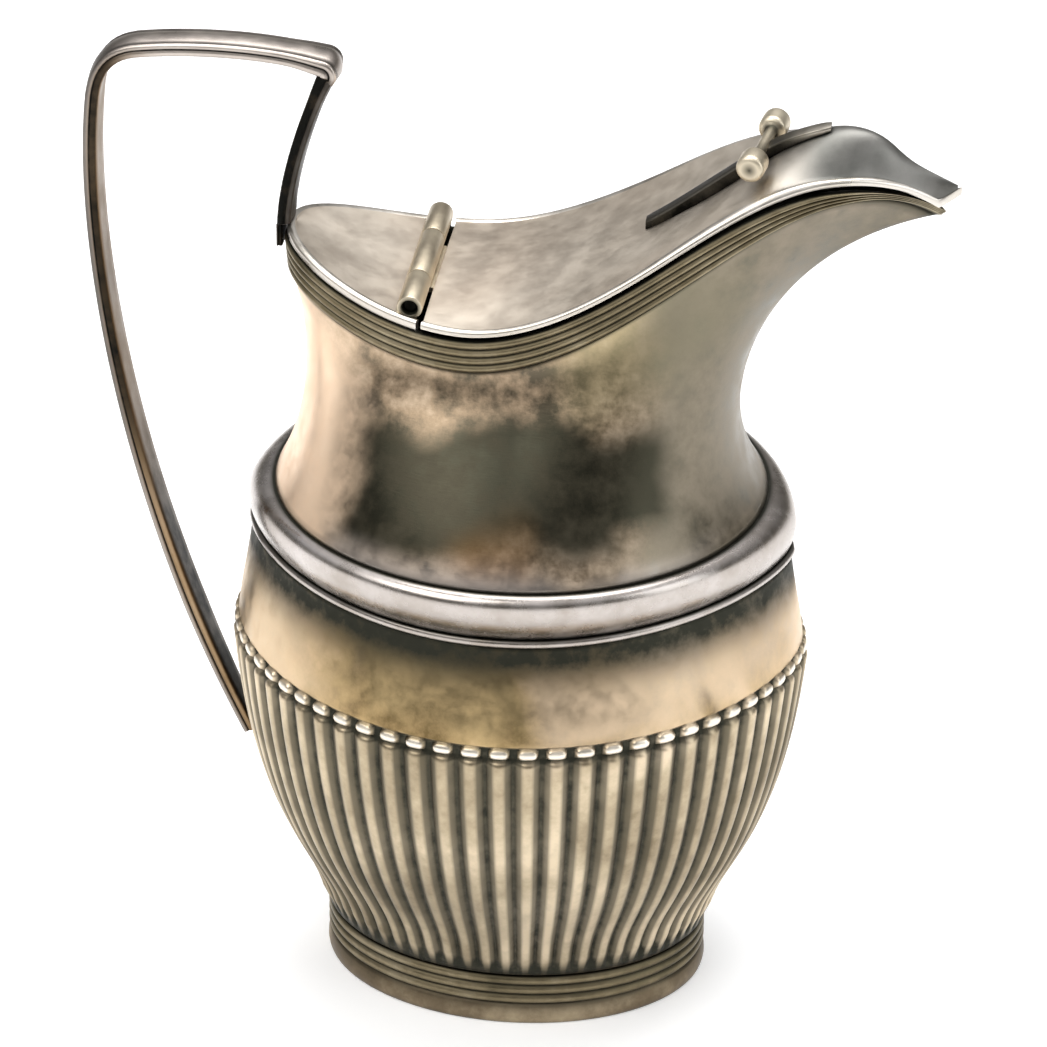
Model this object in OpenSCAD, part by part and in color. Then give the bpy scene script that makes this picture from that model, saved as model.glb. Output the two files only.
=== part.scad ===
// Half-fluted helmet jug in silver plate, with a saddle-shaped mouth, a hinged lid and an
// angular strap handle. Millimetres, +Z up, +X towards the spout, origin at the centre of the
// face that the foot stands on.

/* [Bowl] */
// Half length of the bowl at its widest, between the flutes
bowl_a = 58.1; // [54:0.1:62]
// Height of the widest part
bowl_wide_z = 79; // [72:0.5:82]
// Half length of the top edge of the bowl
bowl_top_a = 55.2; // [53:0.1:56]
// Height of the top edge of the bowl
bowl_top_z = 100.2; // [98:0.1:102]
// Number of flutes round the bowl
flute_count = 64; // [40:2:66]
// How far a flute stands proud of the bowl
flute_depth = 1.3; // [0.4:0.1:1.6]
// Height at which the flutes end in round tops
flute_top_z = 80.5; // [76:0.5:86]
// Thickness of the sheet of bowl and neck
wall = 1; // [0.8:0.1:1.4]

/* [Foot] */
// Half length of the foot, along X
foot_a = 39.6; // [36:0.1:42]
// Half width of the foot, along Y
foot_b = 29.6; // [27:0.1:34]
// Height of the foot
foot_h = 12.4; // [10:0.1:14]
// Radial thickness of the foot collar
foot_wall = 1.6; // [1.2:0.1:2.4]
// Height of the plain flange under the reeds
flange_h = 4.8; // [3:0.1:6]

/* [Waist] */
// Height of the bead wire between the bowl and the waist band
bead_h = 1.8; // [1.4:0.1:2]
// Height of the waist band
band_h = 11.4; // [10:0.1:12]
// How far the waist band swells past the top of the bowl
band_swell = 0.5; // [0.2:0.1:1.2]
// Half length of the foot of the neck, where it stands on the waist band
neck_foot_a = 49.8; // [48:0.1:51]
// Half width of the foot of the neck
neck_foot_b = 46.8; // [44:0.1:49]

/* [Mouth] */
// X of the tip of the pouring lip
lip_x = 81.6; // [78:0.1:84]
// X of the rear end of the mouth
mouth_rear_x = -47.2; // [-49:0.1:-45]
// Half width of the mouth at its widest
mouth_w = 25.7; // [24:0.1:28]
// X of the widest place of the mouth
mouth_wide_x = 4; // [0:0.5:8]
// Height of the reeded rim band at the flanks
rim_h = 7; // [5:0.1:8]
// How far each reed stands out
reed_d = 0.6; // [0.3:0.1:0.9]
// Drop from the centre of the lid edge to the top of the rim band
seat_drop = 1.5; // [1.3:0.1:2]

/* [Hinge and lid] */
// X of the hinge axis
hinge_x = -19.7; // [-21:0.1:-18]
// Height of the hinge axis
hinge_z = 161; // [160.5:0.1:162]
// Outer radius of the hinge knuckles
knuckle_r = 2.5; // [2.3:0.1:2.8]
// Radius of the hinge pin
pin_r = 1.5; // [1.2:0.05:1.7]
// Length of the whole hinge
hinge_len = 42; // [38:0.5:43]
// Length of the knuckle that belongs to the lid
lid_knuckle_len = 18; // [14:0.5:22]
// Thickness of the lid and of the rear cover
plate_t = 0.9; // [0.7:0.1:1.2]
// Radius of the wire round the lid and the rear cover
edge_r = 0.8; // [0.6:0.05:0.8]
// Highest place of the dome over the lip
dome_z = 196.3; // [193:0.1:198]

/* [Thumb piece] */
// Width of the strap along the lid
strap_w = 3.4; // [2.4:0.1:4]
// Thickness of the strap at its two ends
strap_t = 1.9; // [1.5:0.1:2.2]
// How much thicker the strap is in its middle, under the crossbar
strap_arch = 1.4; // [1:0.1:1.6]
// Share of its height that the strap loses towards its front end
strap_taper = 0.45; // [0:0.05:0.5]
// X of the crossbar
crossbar_x = 46.5; // [43:0.5:49]
// Length of the crossbar over its knobs
crossbar_len = 23.8; // [22:0.1:26]
// Radius of the knobs at the ends of the crossbar
knob_r = 2.5; // [2:0.1:2.5]

/* [Handle] */
// Width of the handle strap
handle_w = 8; // [6:0.1:10]
// Thickness of the handle strap
handle_t = 3.1; // [2.4:0.1:4]
// Height of the middle of the top bar
handle_top_z = 204.7; // [200:0.1:206]
// X of the rearmost stretch of the handle, in the middle of the strap
handle_rear_x = -86; // [-90:0.1:-82]
// X of the sharp front corner of the handle, in the middle of the strap
handle_front_x = -38.2; // [-40:0.1:-37]

/* [Hidden] */

around = 72;              // sides of a smooth ring
flute_sides = 4;          // points across one flute
silver = "#b3aca0";
dark_silver = "#8d8577";
bright_silver = "#d2ccc0";

// ---- general shapes -------------------------------------------------------------------

// Point at t on the cubic curve a, b, c, d
function bezier(a, b, c, d, t) =
    pow(1 - t, 3) * a + 3 * pow(1 - t, 2) * t * b + 3 * (1 - t) * t * t * c + pow(t, 3) * d;

// Height at x on the smooth curve through knots [x, height, slope]
function knot_curve(knots, x, i = 0) =
    (x > knots[i + 1][0] && i < len(knots) - 2) ? knot_curve(knots, x, i + 1) :
    let (p = knots[i], q = knots[i + 1], span = q[0] - p[0], s = (x - p[0]) / span)
    p[1] * (1 + 2 * s) * pow(1 - s, 2) + q[1] * s * s * (3 - 2 * s)
    + span * (p[2] * s * pow(1 - s, 2) - q[2] * s * s * (1 - s));

// Triangles of the skin through rows of points, each row a closed ring of cols points
function skin_faces(rows, cols, joined) = [
    for (i = [0 : rows - (joined ? 1 : 2)], j = [0 : cols - 1], half = [0, 1])
        let (next = (i + 1) % rows, k = (j + 1) % cols)
        half == 0 ? [i * cols + j, next * cols + j, next * cols + k]
                  : [i * cols + j, next * cols + k, i * cols + k]
];

// Solid through a stack of rings, closed by a flat face at each end
module stacked(rings) {
    cols = len(rings[0]);
    last = (len(rings) - 1) * cols;
    polyhedron(
        points = [for (ring = rings, p = ring) p],
        faces = concat(
            skin_faces(len(rings), cols, false),
            [[for (j = [0 : cols - 1]) j]],
            [[for (j = [cols - 1 : -1 : 0]) last + j]]),
        convexity = 8);
}

// Ring-shaped solid through rings that lead back to the first one
module looped(rings) {
    polyhedron(
        points = [for (ring = rings, p = ring) p],
        faces = skin_faces(len(rings), len(rings[0]), true),
        convexity = 8);
}

function oval(a, b, z, n = around) =
    [for (j = [0 : n - 1]) [a * cos(360 * j / n), b * sin(360 * j / n), z]];

// ---- plan of the body -----------------------------------------------------------------

// Half width over half length of the bowl, as [height, ratio, slope]
ratio_knots = [
    [foot_h, foot_b / foot_a, 0.001], [40, 0.82, 0.0022], [78, 0.88, 0],
    [bowl_top_z, 0.81, -0.003]];
// How pointed the two ends of the plan are: 0.5 is an ellipse
point_knots = [
    [foot_h, 0.52, 0], [40, 0.55, 0.0008], [78, 0.58, 0.002], [bowl_top_z, 0.68, 0.004]];

// One ring of the body: half length a, half width b, ends pointed by q. swell is a list of
// offsets round the ring, or one offset for all of it.
function body_ring(a, b, q, z, n, swell = 0) = [
    for (j = [0 : n - 1])
        let (t = 360 * j / n, e = is_num(swell) ? swell : swell[j])
        [(a + e) * cos(t), (b + e) * sign(sin(t)) * pow(abs(sin(t)), 2 * q), z]];

// ---- bowl -----------------------------------------------------------------------------

// Half length of the smooth bowl: the lower curve rises from the foot to the widest place,
// the upper one draws in to the waist. Both take s from 0 at the bottom to 1 at the top.
function bowl_low(s) = [
    bezier(foot_a + 0.3, foot_a + 1.4, bowl_a - 4, bowl_a, s),
    bezier(foot_h, foot_h + 16.8, foot_h + 17.4, bowl_wide_z, s)];
function bowl_high(s) = [
    bezier(bowl_a, bowl_a, bowl_top_a + 0.6, bowl_top_a, s),
    bezier(bowl_wide_z, bowl_wide_z + 5, bowl_top_z - 7, bowl_top_z, s)];

// Relief of the flutes: full over most of the height, gone at the foot, round at the top
function flute_swell(z) =
    flute_depth * sqrt(max(0, min(1, (flute_top_z - z) / 3))) * min(1, (z - foot_h) / 8);

function bowl_ring(p, inset) =
    let (n = flute_count * flute_sides, swell = inset > 0 ? 0 : flute_swell(p[1]))
    body_ring(p[0], p[0] * knot_curve(ratio_knots, p[1]), knot_curve(point_knots, p[1]),
        p[1], n, [for (j = [0 : n - 1]) swell * abs(sin(180 * j / flute_sides)) - inset]);

module bowl() {
    low = [for (s = [0, 0.12, 0.25, 0.4, 0.55, 0.7, 0.85, 0.97]) bowl_low(s)];
    high = [for (s = [0.09, 0.12, 0.45, 1]) bowl_high(s)];
    inner_low = [for (s = [1, 0.7, 0.4, 0.15]) bowl_low(s)];
    color(silver) stacked(concat(
        [for (p = low) bowl_ring(p, 0)],
        [for (p = high) bowl_ring(p, 0)],
        [bowl_ring(bowl_high(1), wall)],
        [for (p = inner_low) bowl_ring(p, wall)],
        [bowl_ring([foot_a - 4, foot_h + wall], wall)]));
}

// ---- foot -----------------------------------------------------------------------------

foot_reeds = 3;
foot_reeding_h = foot_h - flange_h - 0.8;

module foot_collar() {
    in = foot_wall;
    color(dark_silver) looped([
        oval(foot_a, foot_b, 0),
        oval(foot_a + 0.3, foot_b + 0.3, 1.2),
        oval(foot_a, foot_b, flange_h - 0.6),
        oval(foot_a - 0.8, foot_b - 0.8, flange_h),
        oval(foot_a - 0.8, foot_b - 0.8, foot_h - 0.8),
        oval(foot_a - 0.2, foot_b - 0.2, foot_h),
        oval(foot_a - in, foot_b - in, foot_h),
        oval(foot_a - in - 0.4, foot_b - in - 0.4, 0)]);
}

module foot_reeding() {
    steps = 4 * foot_reeds;
    inner = -0.78;
    color(silver) looped(concat(
        [for (i = [0 : steps])
            let (r = inner + 0.25 + 0.7 * abs(sin(180 * i * foot_reeds / steps)))
            oval(foot_a + r, foot_b + r, flange_h + foot_reeding_h * i / steps)],
        [oval(foot_a + inner, foot_b + inner, flange_h + foot_reeding_h),
         oval(foot_a + inner, foot_b + inner, flange_h)]));
}

// ---- waist ----------------------------------------------------------------------------

band_z = bowl_top_z + bead_h;
neck_z = band_z + band_h;

// Half width over half length of the rings round the waist: at the foot of the band, in its
// middle, and how far up the band that middle lies. At the top it is the neck's.
waist_ratio = 0.82;
band_ratio = 0.887;
band_ratio_at = 0.55;
waist_point = 0.68;                     // how pointed they are at the foot of the band
neck_point = 0.5;                       // and at the top, where the neck is an oval

// A ring round the waist: half length a, at share s of the way up the band and height z. Its
// plan turns from the bowl's into the neck's.
function waist_ring(a, s, z) =
    let (neck_ratio = neck_foot_b / neck_foot_a,
         ratio = s < band_ratio_at ?
             waist_ratio + (band_ratio - waist_ratio) * s / band_ratio_at :
             band_ratio + (neck_ratio - band_ratio) * (s - band_ratio_at) / (1 - band_ratio_at))
    body_ring(a, a * ratio, waist_point + (neck_point - waist_point) * s, z, around);

module waist_bead() {
    r = bead_h / 2;
    color(bright_silver) looped(concat(
        [for (t = [-90 : 30 : 90])
            waist_ring(bowl_top_a - 0.3 + r * cos(t), 0, bowl_top_z + r + r * sin(t))],
        [waist_ring(bowl_top_a - wall, 0, band_z), waist_ring(bowl_top_a - wall, 0, bowl_top_z)]));
}

module waist_band() {
    lip_a = bowl_top_a - 0.5;
    swell_a = bowl_top_a + band_swell;
    steps = 12;
    color(bright_silver) looped(concat(
        [for (i = [0 : steps]) let (s = i / steps)
            waist_ring(
                bezier(lip_a, swell_a + 0.7, swell_a + 1.2, neck_foot_a + 0.4, s), s,
                bezier(band_z, band_z + 4, neck_z - 1.2, neck_z, s))],
        [waist_ring(neck_foot_a - wall, 1, neck_z),
         waist_ring(neck_foot_a - wall, 0.9, neck_z - 1.4),
         waist_ring(bowl_top_a - wall, 0.15, band_z + 2),
         waist_ring(bowl_top_a - wall, 0, band_z)]));
}

// ---- mouth and neck -------------------------------------------------------------------

// Height of the middle of the lid edge along X: up at the rear, low before the hinge, high
// over the spout and down again to the lip
edge_knots = [
    [mouth_rear_x, 167.7, -0.45], [-10.5, 158, 0], [28, 174, 0.68], [61, 189, 0],
    [lip_x, 181.6, -0.85]];
function edge_z(x) = knot_curve(edge_knots, min(lip_x, x));

// Outline of the mouth from above; angle 0 is the lip, 180 the rear. A positive inset makes
// it smaller by that much, and reach is how far the tip lies past the lip.
function mouth_xy(angle, inset = 0, reach = 0) =
    let (a = angle > 180 ? 360 - angle : angle, side = angle > 180 ? -1 : 1,
         tip = lip_x + reach - 1.9 * inset, w = mouth_w - inset, rear = mouth_rear_x + inset)
    a <= 90 ?
        let (t = 1 - a / 90)
        [bezier(mouth_wide_x, mouth_wide_x + 26, tip - 23.6 - 2 * reach, tip, t),
         side * bezier(w, w, 14 - inset, 0, t)] :
        let (t = (a - 90) / 90)
        [bezier(mouth_wide_x, mouth_wide_x - 24, rear, rear, t),
         side * bezier(w, w, 16.5 - inset, 0, t)];

// 1 at the tip of the lip, 0 from 60 degrees on
function lipness(angle) =
    let (a = angle > 180 ? 360 - angle : angle) cos(min(90, 1.5 * a));

function rim_height(angle) = rim_h - (rim_h - 0.9) * pow(lipness(angle), 2);

function rim_top(angle, inset = 0) =
    let (p = mouth_xy(angle, inset), seat = seat_drop + 0.35 * lipness(angle))
    [p[0], p[1], edge_z(mouth_xy(angle)[0]) - seat];

// Where the neck ends and the rim band stands on it
function rim_foot(angle, inset = 0) =
    let (p = mouth_xy(angle, inset + 0.6), top = rim_top(angle))
    [p[0], p[1], top[2] - rim_height(angle)];

// The neck rises from its foot, draws in and flares to the mouth. Each line up its side is
// one cubic curve. Its second point runs round the narrow part of the neck, its third one
// round an oval under the mouth, higher under the spout and the rear.
narrow_r = 39;
narrow_spout_draw = 3;                  // how much further in the narrow part is at the spout
narrow_rise = 17;
narrow_spout_rise = 2.5;                // and how much higher
flare_x = 2.9;
flare_spout_r = 42;
flare_rear_r = 44.9;
flare_side_z = rim_foot(90)[2] - 12;
flare_spout_rise = rim_foot(0)[2] - 10.5 - flare_side_z;
flare_rear_rise = rim_foot(180)[2] - 13 - flare_side_z;

function neck_at(angle, s, inset) =
    let (c = cos(angle), sn = sin(angle),
         r = narrow_r - narrow_spout_draw * c - inset,
         flare_r = (c > 0 ? flare_spout_r : flare_rear_r) - inset,
         end = rim_foot(angle, inset),
         rise = c > 0 ? flare_spout_rise * pow(c, 0.8) : flare_rear_rise * pow(-c, 1.5))
    [bezier((neck_foot_a - inset) * c, r * c, flare_x + flare_r * c, end[0], s),
     bezier((neck_foot_b - inset) * sn, r * sn, (mouth_w - 0.6 - inset) * sn, end[1], s),
     bezier(neck_z, neck_z + narrow_rise + narrow_spout_rise * c, flare_side_z + rise,
         end[2], s)];

neck_steps = 9;

module neck() {
    n = around;
    color(silver) looped(concat(
        [for (i = [0 : neck_steps])
            [for (j = [0 : n - 1]) neck_at(360 * j / n, i / neck_steps, 0)]],
        [for (i = [neck_steps : -1 : 0])
            [for (j = [0 : n - 1]) neck_at(360 * j / n, i / neck_steps, wall)]]));
}

rim_reeds = 4;

// The rim band is parallel to the edge of the mouth, with reeds along its outer face
module rim_reeding() {
    n = around;
    steps = 3 * rim_reeds;
    outer = [for (i = [0 : steps])
        let (s = i / steps, bulge = reed_d * abs(sin(180 * rim_reeds * s)))
        [for (j = [0 : n - 1])
            let (a = 360 * j / n, top = rim_top(a),
                 p = mouth_xy(a, 0.6 * (1 - s) - bulge))
            [p[0], p[1], top[2] - rim_height(a) * (1 - s)]]];
    color(dark_silver) looped(concat(
        outer,
        [[for (j = [0 : n - 1]) rim_top(360 * j / n, wall)]],
        [[for (j = [0 : n - 1]) rim_foot(360 * j / n, wall)]]));
}

// ---- plates with a wire edge ----------------------------------------------------------

wire_w = 2 * edge_r;
cover_front_x = hinge_x - 2.9;
lid_rear_x = hinge_x + 2.9;
beak_reach = 3.7;                       // how far the lid's beak overhangs the lip
beak_z = 184.4;

// Angle at which the outline, made smaller by inset, passes x, by halving the interval
function angle_at(x, inset, reach, lo = 0, hi = 180, steps = 20) =
    steps == 0 ? (lo + hi) / 2 :
    let (mid = (lo + hi) / 2)
    mouth_xy(mid, inset, reach)[0] > x ?
        angle_at(x, inset, reach, mid, hi, steps - 1) :
        angle_at(x, inset, reach, lo, mid, steps - 1);

// Cross profile of a dome: 1 in the middle, 0 at the edge where it runs out flat
function dome_shape(v) = pow(max(0, 1 - v * v), 1.3);

// Slice of a plate across the jug: half width w, edge at height z, middle higher by rise
function plate_slice(x, w, z, rise, cols = 10) = concat(
    [for (i = [0 : cols])
        let (v = 2 * i / cols - 1) [x, v * w, z - plate_t / 2 + rise * dome_shape(v)]],
    [for (i = [cols : -1 : 0])
        let (v = 2 * i / cols - 1) [x, v * w, z + plate_t / 2 + rise * dome_shape(v)]]);

// Slice of the wire between p on the outline and q on its inner face, both at the wire's
// middle; low is how far it reaches down from there
function wire_slice(p, q, low) =
    let (up = [0, 0, 1])
    [q + plate_t / 2 * up, 0.4 * p + 0.6 * q + edge_r * up,
     0.75 * p + 0.25 * q + 0.8 * edge_r * up, p + 0.3 * edge_r * up, p - low * up,
     q - low * up];

// ---- rear cover -----------------------------------------------------------------------

cover_angle = angle_at(cover_front_x, wire_w, 0);
cover_steps = 12;
cover_end_angle = 178;
function cover_station(i) = cover_end_angle + (cover_angle - cover_end_angle) * i / cover_steps;

module rear_cover() {
    dish = -0.4;
    color(silver) stacked([
        for (i = [0 : cover_steps])
            let (a = cover_station(i), q = mouth_xy(a, wire_w))
            plate_slice(q[0], q[1], edge_z(mouth_xy(a)[0]), dish)]);
}

module cover_edge_wire() {
    side = [for (i = [cover_steps : -1 : 0]) cover_station(i)];
    stations = concat(side, [180], [for (i = [0 : cover_steps]) 360 - cover_station(i)]);
    color(bright_silver) stacked([
        for (a = stations)
            let (p = mouth_xy(a), q = mouth_xy(a, wire_w), z = edge_z(p[0]))
            wire_slice([p[0], p[1], z], [q[0], q[1], z], z - rim_top(a)[2])]);
}

// ---- hinge ----------------------------------------------------------------------------

outer_knuckle_len = (hinge_len - lid_knuckle_len) / 2 - 0.2;
leaf_t = 1.4;

module along_y(y) {
    translate([hinge_x, y, hinge_z]) rotate([-90, 0, 0]) children();
}

// A barrel from y0 on, with a leaf at its foot that reaches sideways to leaf_x
module knuckle(y0, len, bore_r, leaf_x) {
    difference() {
        union() {
            along_y(y0) cylinder(r = knuckle_r, h = len, $fn = 48);
            translate([min(hinge_x, leaf_x), y0, hinge_z - knuckle_r])
                cube([abs(leaf_x - hinge_x), len, leaf_t]);
        }
        along_y(y0 - 1) cylinder(r = bore_r, h = len + 2, $fn = 48);
    }
}

module hinge_knuckle_near() {
    color(silver) knuckle(-hinge_len / 2, outer_knuckle_len, pin_r, cover_front_x);
}

module hinge_knuckle_far() {
    color(silver)
        knuckle(hinge_len / 2 - outer_knuckle_len, outer_knuckle_len, pin_r, cover_front_x);
}

module hinge_knuckle_lid() {
    color(bright_silver) knuckle(-lid_knuckle_len / 2, lid_knuckle_len, pin_r + 0.05, lid_rear_x);
}

module hinge_pin() {
    recess = 1;
    color(dark_silver) along_y(-hinge_len / 2 + recess)
        cylinder(r = pin_r, h = hinge_len - 2 * recess, $fn = 48);
}

// ---- lid ------------------------------------------------------------------------------

// Height of the middle of the lid plate along X: level behind, up the saddle, over the dome
// and down the beak
crest_knots = [
    [lid_rear_x, 158.9, 0.02], [24, 171.3, 0.6], [43, 184.6, 0.83], [51, 191, 0.6],
    [63.3, dome_z - plate_t / 2, 0], [72.2, 192.2, -0.95], [77, 188.6, -0.5],
    [85.3, 184.7, -0.5]];
function crest_z(x) = knot_curve(crest_knots, x);

// The lid edge follows the rim, and rises past the lip to the point of the beak
beak_slope = 0.62;
function lid_edge_z(x) = max(edge_z(x), beak_z - beak_slope * (lip_x + beak_reach - x));
// The wire runs out thin at the point of the beak, where the plate takes over
function lid_wire_w(angle) =
    let (a = angle > 180 ? 360 - angle : angle) wire_w * max(0.1, min(1, a / 14));
// The wire's outline point and its inner point. Where the edge falls to the beak, the inner
// one is higher, so that the wire clears the rim.
function lid_wire_p(angle) =
    let (p = mouth_xy(angle, 0, beak_reach)) [p[0], p[1], lid_edge_z(p[0])];
function lid_wire_q(angle) =
    let (q = mouth_xy(angle, lid_wire_w(angle), beak_reach))
    [q[0], q[1], max(lid_wire_p(angle)[2], lid_edge_z(q[0]))];

lid_angle = angle_at(lid_rear_x, wire_w, beak_reach);
lid_steps = 22;
lid_end_angle = 0.5;
// Stations crowd towards the beak
function lid_station(i) =
    lid_end_angle + (lid_angle - lid_end_angle) * pow(1 - i / lid_steps, 1.2);

module lid() {
    color(silver) stacked([
        for (i = [0 : lid_steps])
            let (q = lid_wire_q(lid_station(i)))
            plate_slice(q[0], q[1], q[2], crest_z(q[0]) - q[2])]);
}

module lid_edge_wire() {
    side = [for (i = [0 : lid_steps]) lid_station(i)];
    stations = concat(
        [for (a = side) -a], [0], [for (i = [lid_steps : -1 : 0]) side[i]]);
    color(bright_silver) stacked([
        for (a = stations)
            let (angle = a < 0 ? 360 + a : a)
            wire_slice(lid_wire_p(angle), lid_wire_q(angle), edge_r)]);
}

// ---- thumb piece ----------------------------------------------------------------------

strap_front_x = 59.5;
strap_rear_x = 24;
strap_gap = 0.08;
bar_r = 1.1;
function strap_z(x) = crest_z(x) + plate_t / 2 + strap_gap;

function strap_top(x) =
    let (share = (x - strap_rear_x) / (strap_front_x - strap_rear_x))
    strap_z(x) + strap_t * (1 - strap_taper * share * share)
        + strap_arch * pow(max(0, sin(180 * share)), 1.5);

// The bar lies in a notch across the top of the strap
bar_z = strap_z(crossbar_x) + 3.2;
notch_r = bar_r + 0.35;
function notch_z(x) = bar_z - sqrt(max(0, pow(notch_r, 2) - pow(x - crossbar_x, 2)));

module thumb_strap() {
    steps = 12;
    rear_run = crossbar_x - notch_r - strap_rear_x;
    front_run = strap_front_x - crossbar_x - notch_r;
    color(dark_silver) stacked([
        for (x = concat(
            [for (i = [0 : steps]) strap_rear_x + rear_run * i / steps],
            [for (t = [-0.97, -0.8, -0.4, 0, 0.4, 0.8, 0.97]) crossbar_x + notch_r * t],
            [for (i = [0 : steps]) crossbar_x + notch_r + front_run * i / steps]))
            let (z = strap_z(x), w = strap_w / 2,
                 top = abs(x - crossbar_x) < notch_r ? min(strap_top(x), notch_z(x)) :
                     strap_top(x),
                 shoulder = top - 0.4)
            [[x, -w, z], [x, w, z], [x, w, shoulder], [x, w / 2, top],
             [x, -w / 2, top], [x, -w, shoulder]]]);
}

// Turned bar with a drum-shaped knob at each end, a little out of square with the strap
module thumb_crossbar() {
    knob_len = 5;
    half = crossbar_len / 2;
    bar_half = half - knob_len;
    soft = 0.6;
    turn = -8;
    color(silver)
        translate([crossbar_x, 0, bar_z])
        rotate([0, 0, turn]) rotate([-90, 0, 0])
        rotate_extrude($fn = 48) polygon([
            [0, -half], [knob_r - soft, -half], [knob_r, -half + soft],
            [knob_r, -bar_half - soft], [knob_r - soft, -bar_half], [bar_r, -bar_half + soft],
            [bar_r, bar_half - soft], [knob_r - soft, bar_half], [knob_r, bar_half + soft],
            [knob_r, half - soft], [knob_r - soft, half], [0, half]]);
}

// ---- handle ---------------------------------------------------------------------------

// Point at t on a cubic curve in the XZ plane
function curve_xz(c, t) = bezier(c[0], c[1], c[2], c[3], t);

riser = [
    [mouth_rear_x - 0.1, 168.7], [mouth_rear_x + 0.2, 177],
    [handle_front_x - 5.3, 190], [handle_front_x - 0.6, 200.6]];
top_bar = [
    [handle_front_x - 1.8, handle_top_z - 1.6], [handle_front_x - 10, handle_top_z + 0.6],
    [handle_rear_x + 22, handle_top_z + 1.2], [handle_rear_x + 9, handle_top_z - 0.9]];
rear_corner = [
    top_bar[3], [handle_rear_x + 3.5, handle_top_z - 2],
    [handle_rear_x + 0.8, handle_top_z - 6], [handle_rear_x + 0.3, handle_top_z - 13]];
sweep_end = bowl_low(0.74);
tail_t = 2.8;                           // thickness at the lower end of the strap
sweep = [
    rear_corner[3], [handle_rear_x - 2.4, 166.6], [handle_rear_x + 2.1, 110.7],
    [-sweep_end[0] - flute_depth - tail_t / 2 - 0.1, sweep_end[1]]];

// Section of the strap at p, with n the direction away from the loop: flat inside, crowned
// outside
function strap_slice(p, n, w, t) = [
    for (q = [[-t / 2, -w / 2], [t / 2 - 0.8, -w / 2], [t / 2 - 0.15, -w / 4],
              [t / 2, 0], [t / 2 - 0.15, w / 4], [t / 2 - 0.8, w / 2], [-t / 2, w / 2]])
        [p[0] + q[0] * n[0], q[1], p[1] + q[0] * n[1]]];

function outward(a, b) = let (d = b - a) [d[1], -d[0]] / norm(d);

module handle() {
    path = concat(
        [for (i = [0 : 7]) curve_xz(riser, i / 7)],
        [[handle_front_x, handle_top_z - 2.4]],
        [for (i = [0 : 7]) curve_xz(top_bar, i / 7)],
        [for (i = [1 : 4]) curve_xz(rear_corner, i / 4)],
        [for (i = [1 : 16]) curve_xz(sweep, i / 16)]);
    last = len(path) - 1;
    corner = 8;
    tongue_x = mouth_rear_x - reed_d - 0.05;
    tongue_t = 1.4;
    color(silver) stacked(concat(
        [for (z = [163.5, 168.6])
            strap_slice([tongue_x - tongue_t / 2, z], [1, 0], handle_w - 1, tongue_t)],
        [for (i = [0 : last])
            let (n = i == 0 ? [1, 0] : outward(path[i - 1], path[min(last, i + 1)]),
                 near_corner = max(0, 1 - abs(i - corner) / 3),
                 to_tail = max(0, (i - last + 5) / 5))
            strap_slice(path[i], n,
                handle_w + 1.4 * near_corner - 2 * to_tail,
                i == corner ? 1.3 * handle_t :
                handle_t * (1 + 0.15 * near_corner) * (1 - to_tail) + tail_t * to_tail)]));
}

bowl();
foot_collar();
foot_reeding();
waist_bead();
waist_band();
neck();
rim_reeding();
rear_cover();
cover_edge_wire();
hinge_knuckle_near();
hinge_knuckle_far();
hinge_pin();
handle();
hinge_knuckle_lid();
lid();
lid_edge_wire();
thumb_strap();
thumb_crossbar();
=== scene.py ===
"""Half-fluted helmet jug in tarnished silver plate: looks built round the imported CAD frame.

Shapes are worked out in millimetres, in the frame's own axes (+Z up, +X to the spout), and
turned into metres when a mesh is made.
"""
import math

import bpy
import numpy as np
from mathutils import Matrix, Vector


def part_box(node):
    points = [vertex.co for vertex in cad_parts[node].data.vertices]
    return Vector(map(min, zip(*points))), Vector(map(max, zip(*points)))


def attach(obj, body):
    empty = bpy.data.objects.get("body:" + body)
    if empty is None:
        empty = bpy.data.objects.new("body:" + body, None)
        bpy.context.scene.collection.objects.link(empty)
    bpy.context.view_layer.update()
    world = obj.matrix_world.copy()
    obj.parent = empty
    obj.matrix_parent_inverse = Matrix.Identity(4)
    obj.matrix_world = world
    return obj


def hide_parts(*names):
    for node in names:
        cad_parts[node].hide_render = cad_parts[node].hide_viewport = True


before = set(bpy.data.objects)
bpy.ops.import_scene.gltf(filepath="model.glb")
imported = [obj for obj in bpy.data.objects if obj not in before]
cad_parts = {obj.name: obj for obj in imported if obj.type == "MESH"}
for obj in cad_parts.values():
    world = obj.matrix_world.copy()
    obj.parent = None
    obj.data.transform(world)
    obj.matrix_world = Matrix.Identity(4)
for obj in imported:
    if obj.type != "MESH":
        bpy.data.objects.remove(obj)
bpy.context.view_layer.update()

MM = 0.001


# ---- sizes, in millimetres ---------------------------------------------------------------

def node_box(node):
    """Lowest and highest corner of a CAD node, in millimetres."""
    low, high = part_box(node)
    return np.array(low) / MM, np.array(high) / MM


BOWL_LOW, BOWL_HIGH = node_box("bowl")
FOOT_HIGH = node_box("foot_collar")[1]
REEDING_LOW, REEDING_HIGH = node_box("foot_reeding")
BAND_LOW, BAND_HIGH = node_box("waist_band")
NECK_HIGH = node_box("neck")[1]
COVER_HIGH = node_box("rear_cover")[1]
WIRE_HIGH = node_box("lid_edge_wire")[1]
COVER_WIRE_LOW = node_box("cover_edge_wire")[0]
LID_LOW, LID_HIGH = node_box("lid")
NEAR_LOW, NEAR_HIGH = node_box("hinge_knuckle_near")
PIN_LOW, PIN_HIGH = node_box("hinge_pin")
STRAP_LOW, STRAP_HIGH = node_box("thumb_strap")

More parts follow.
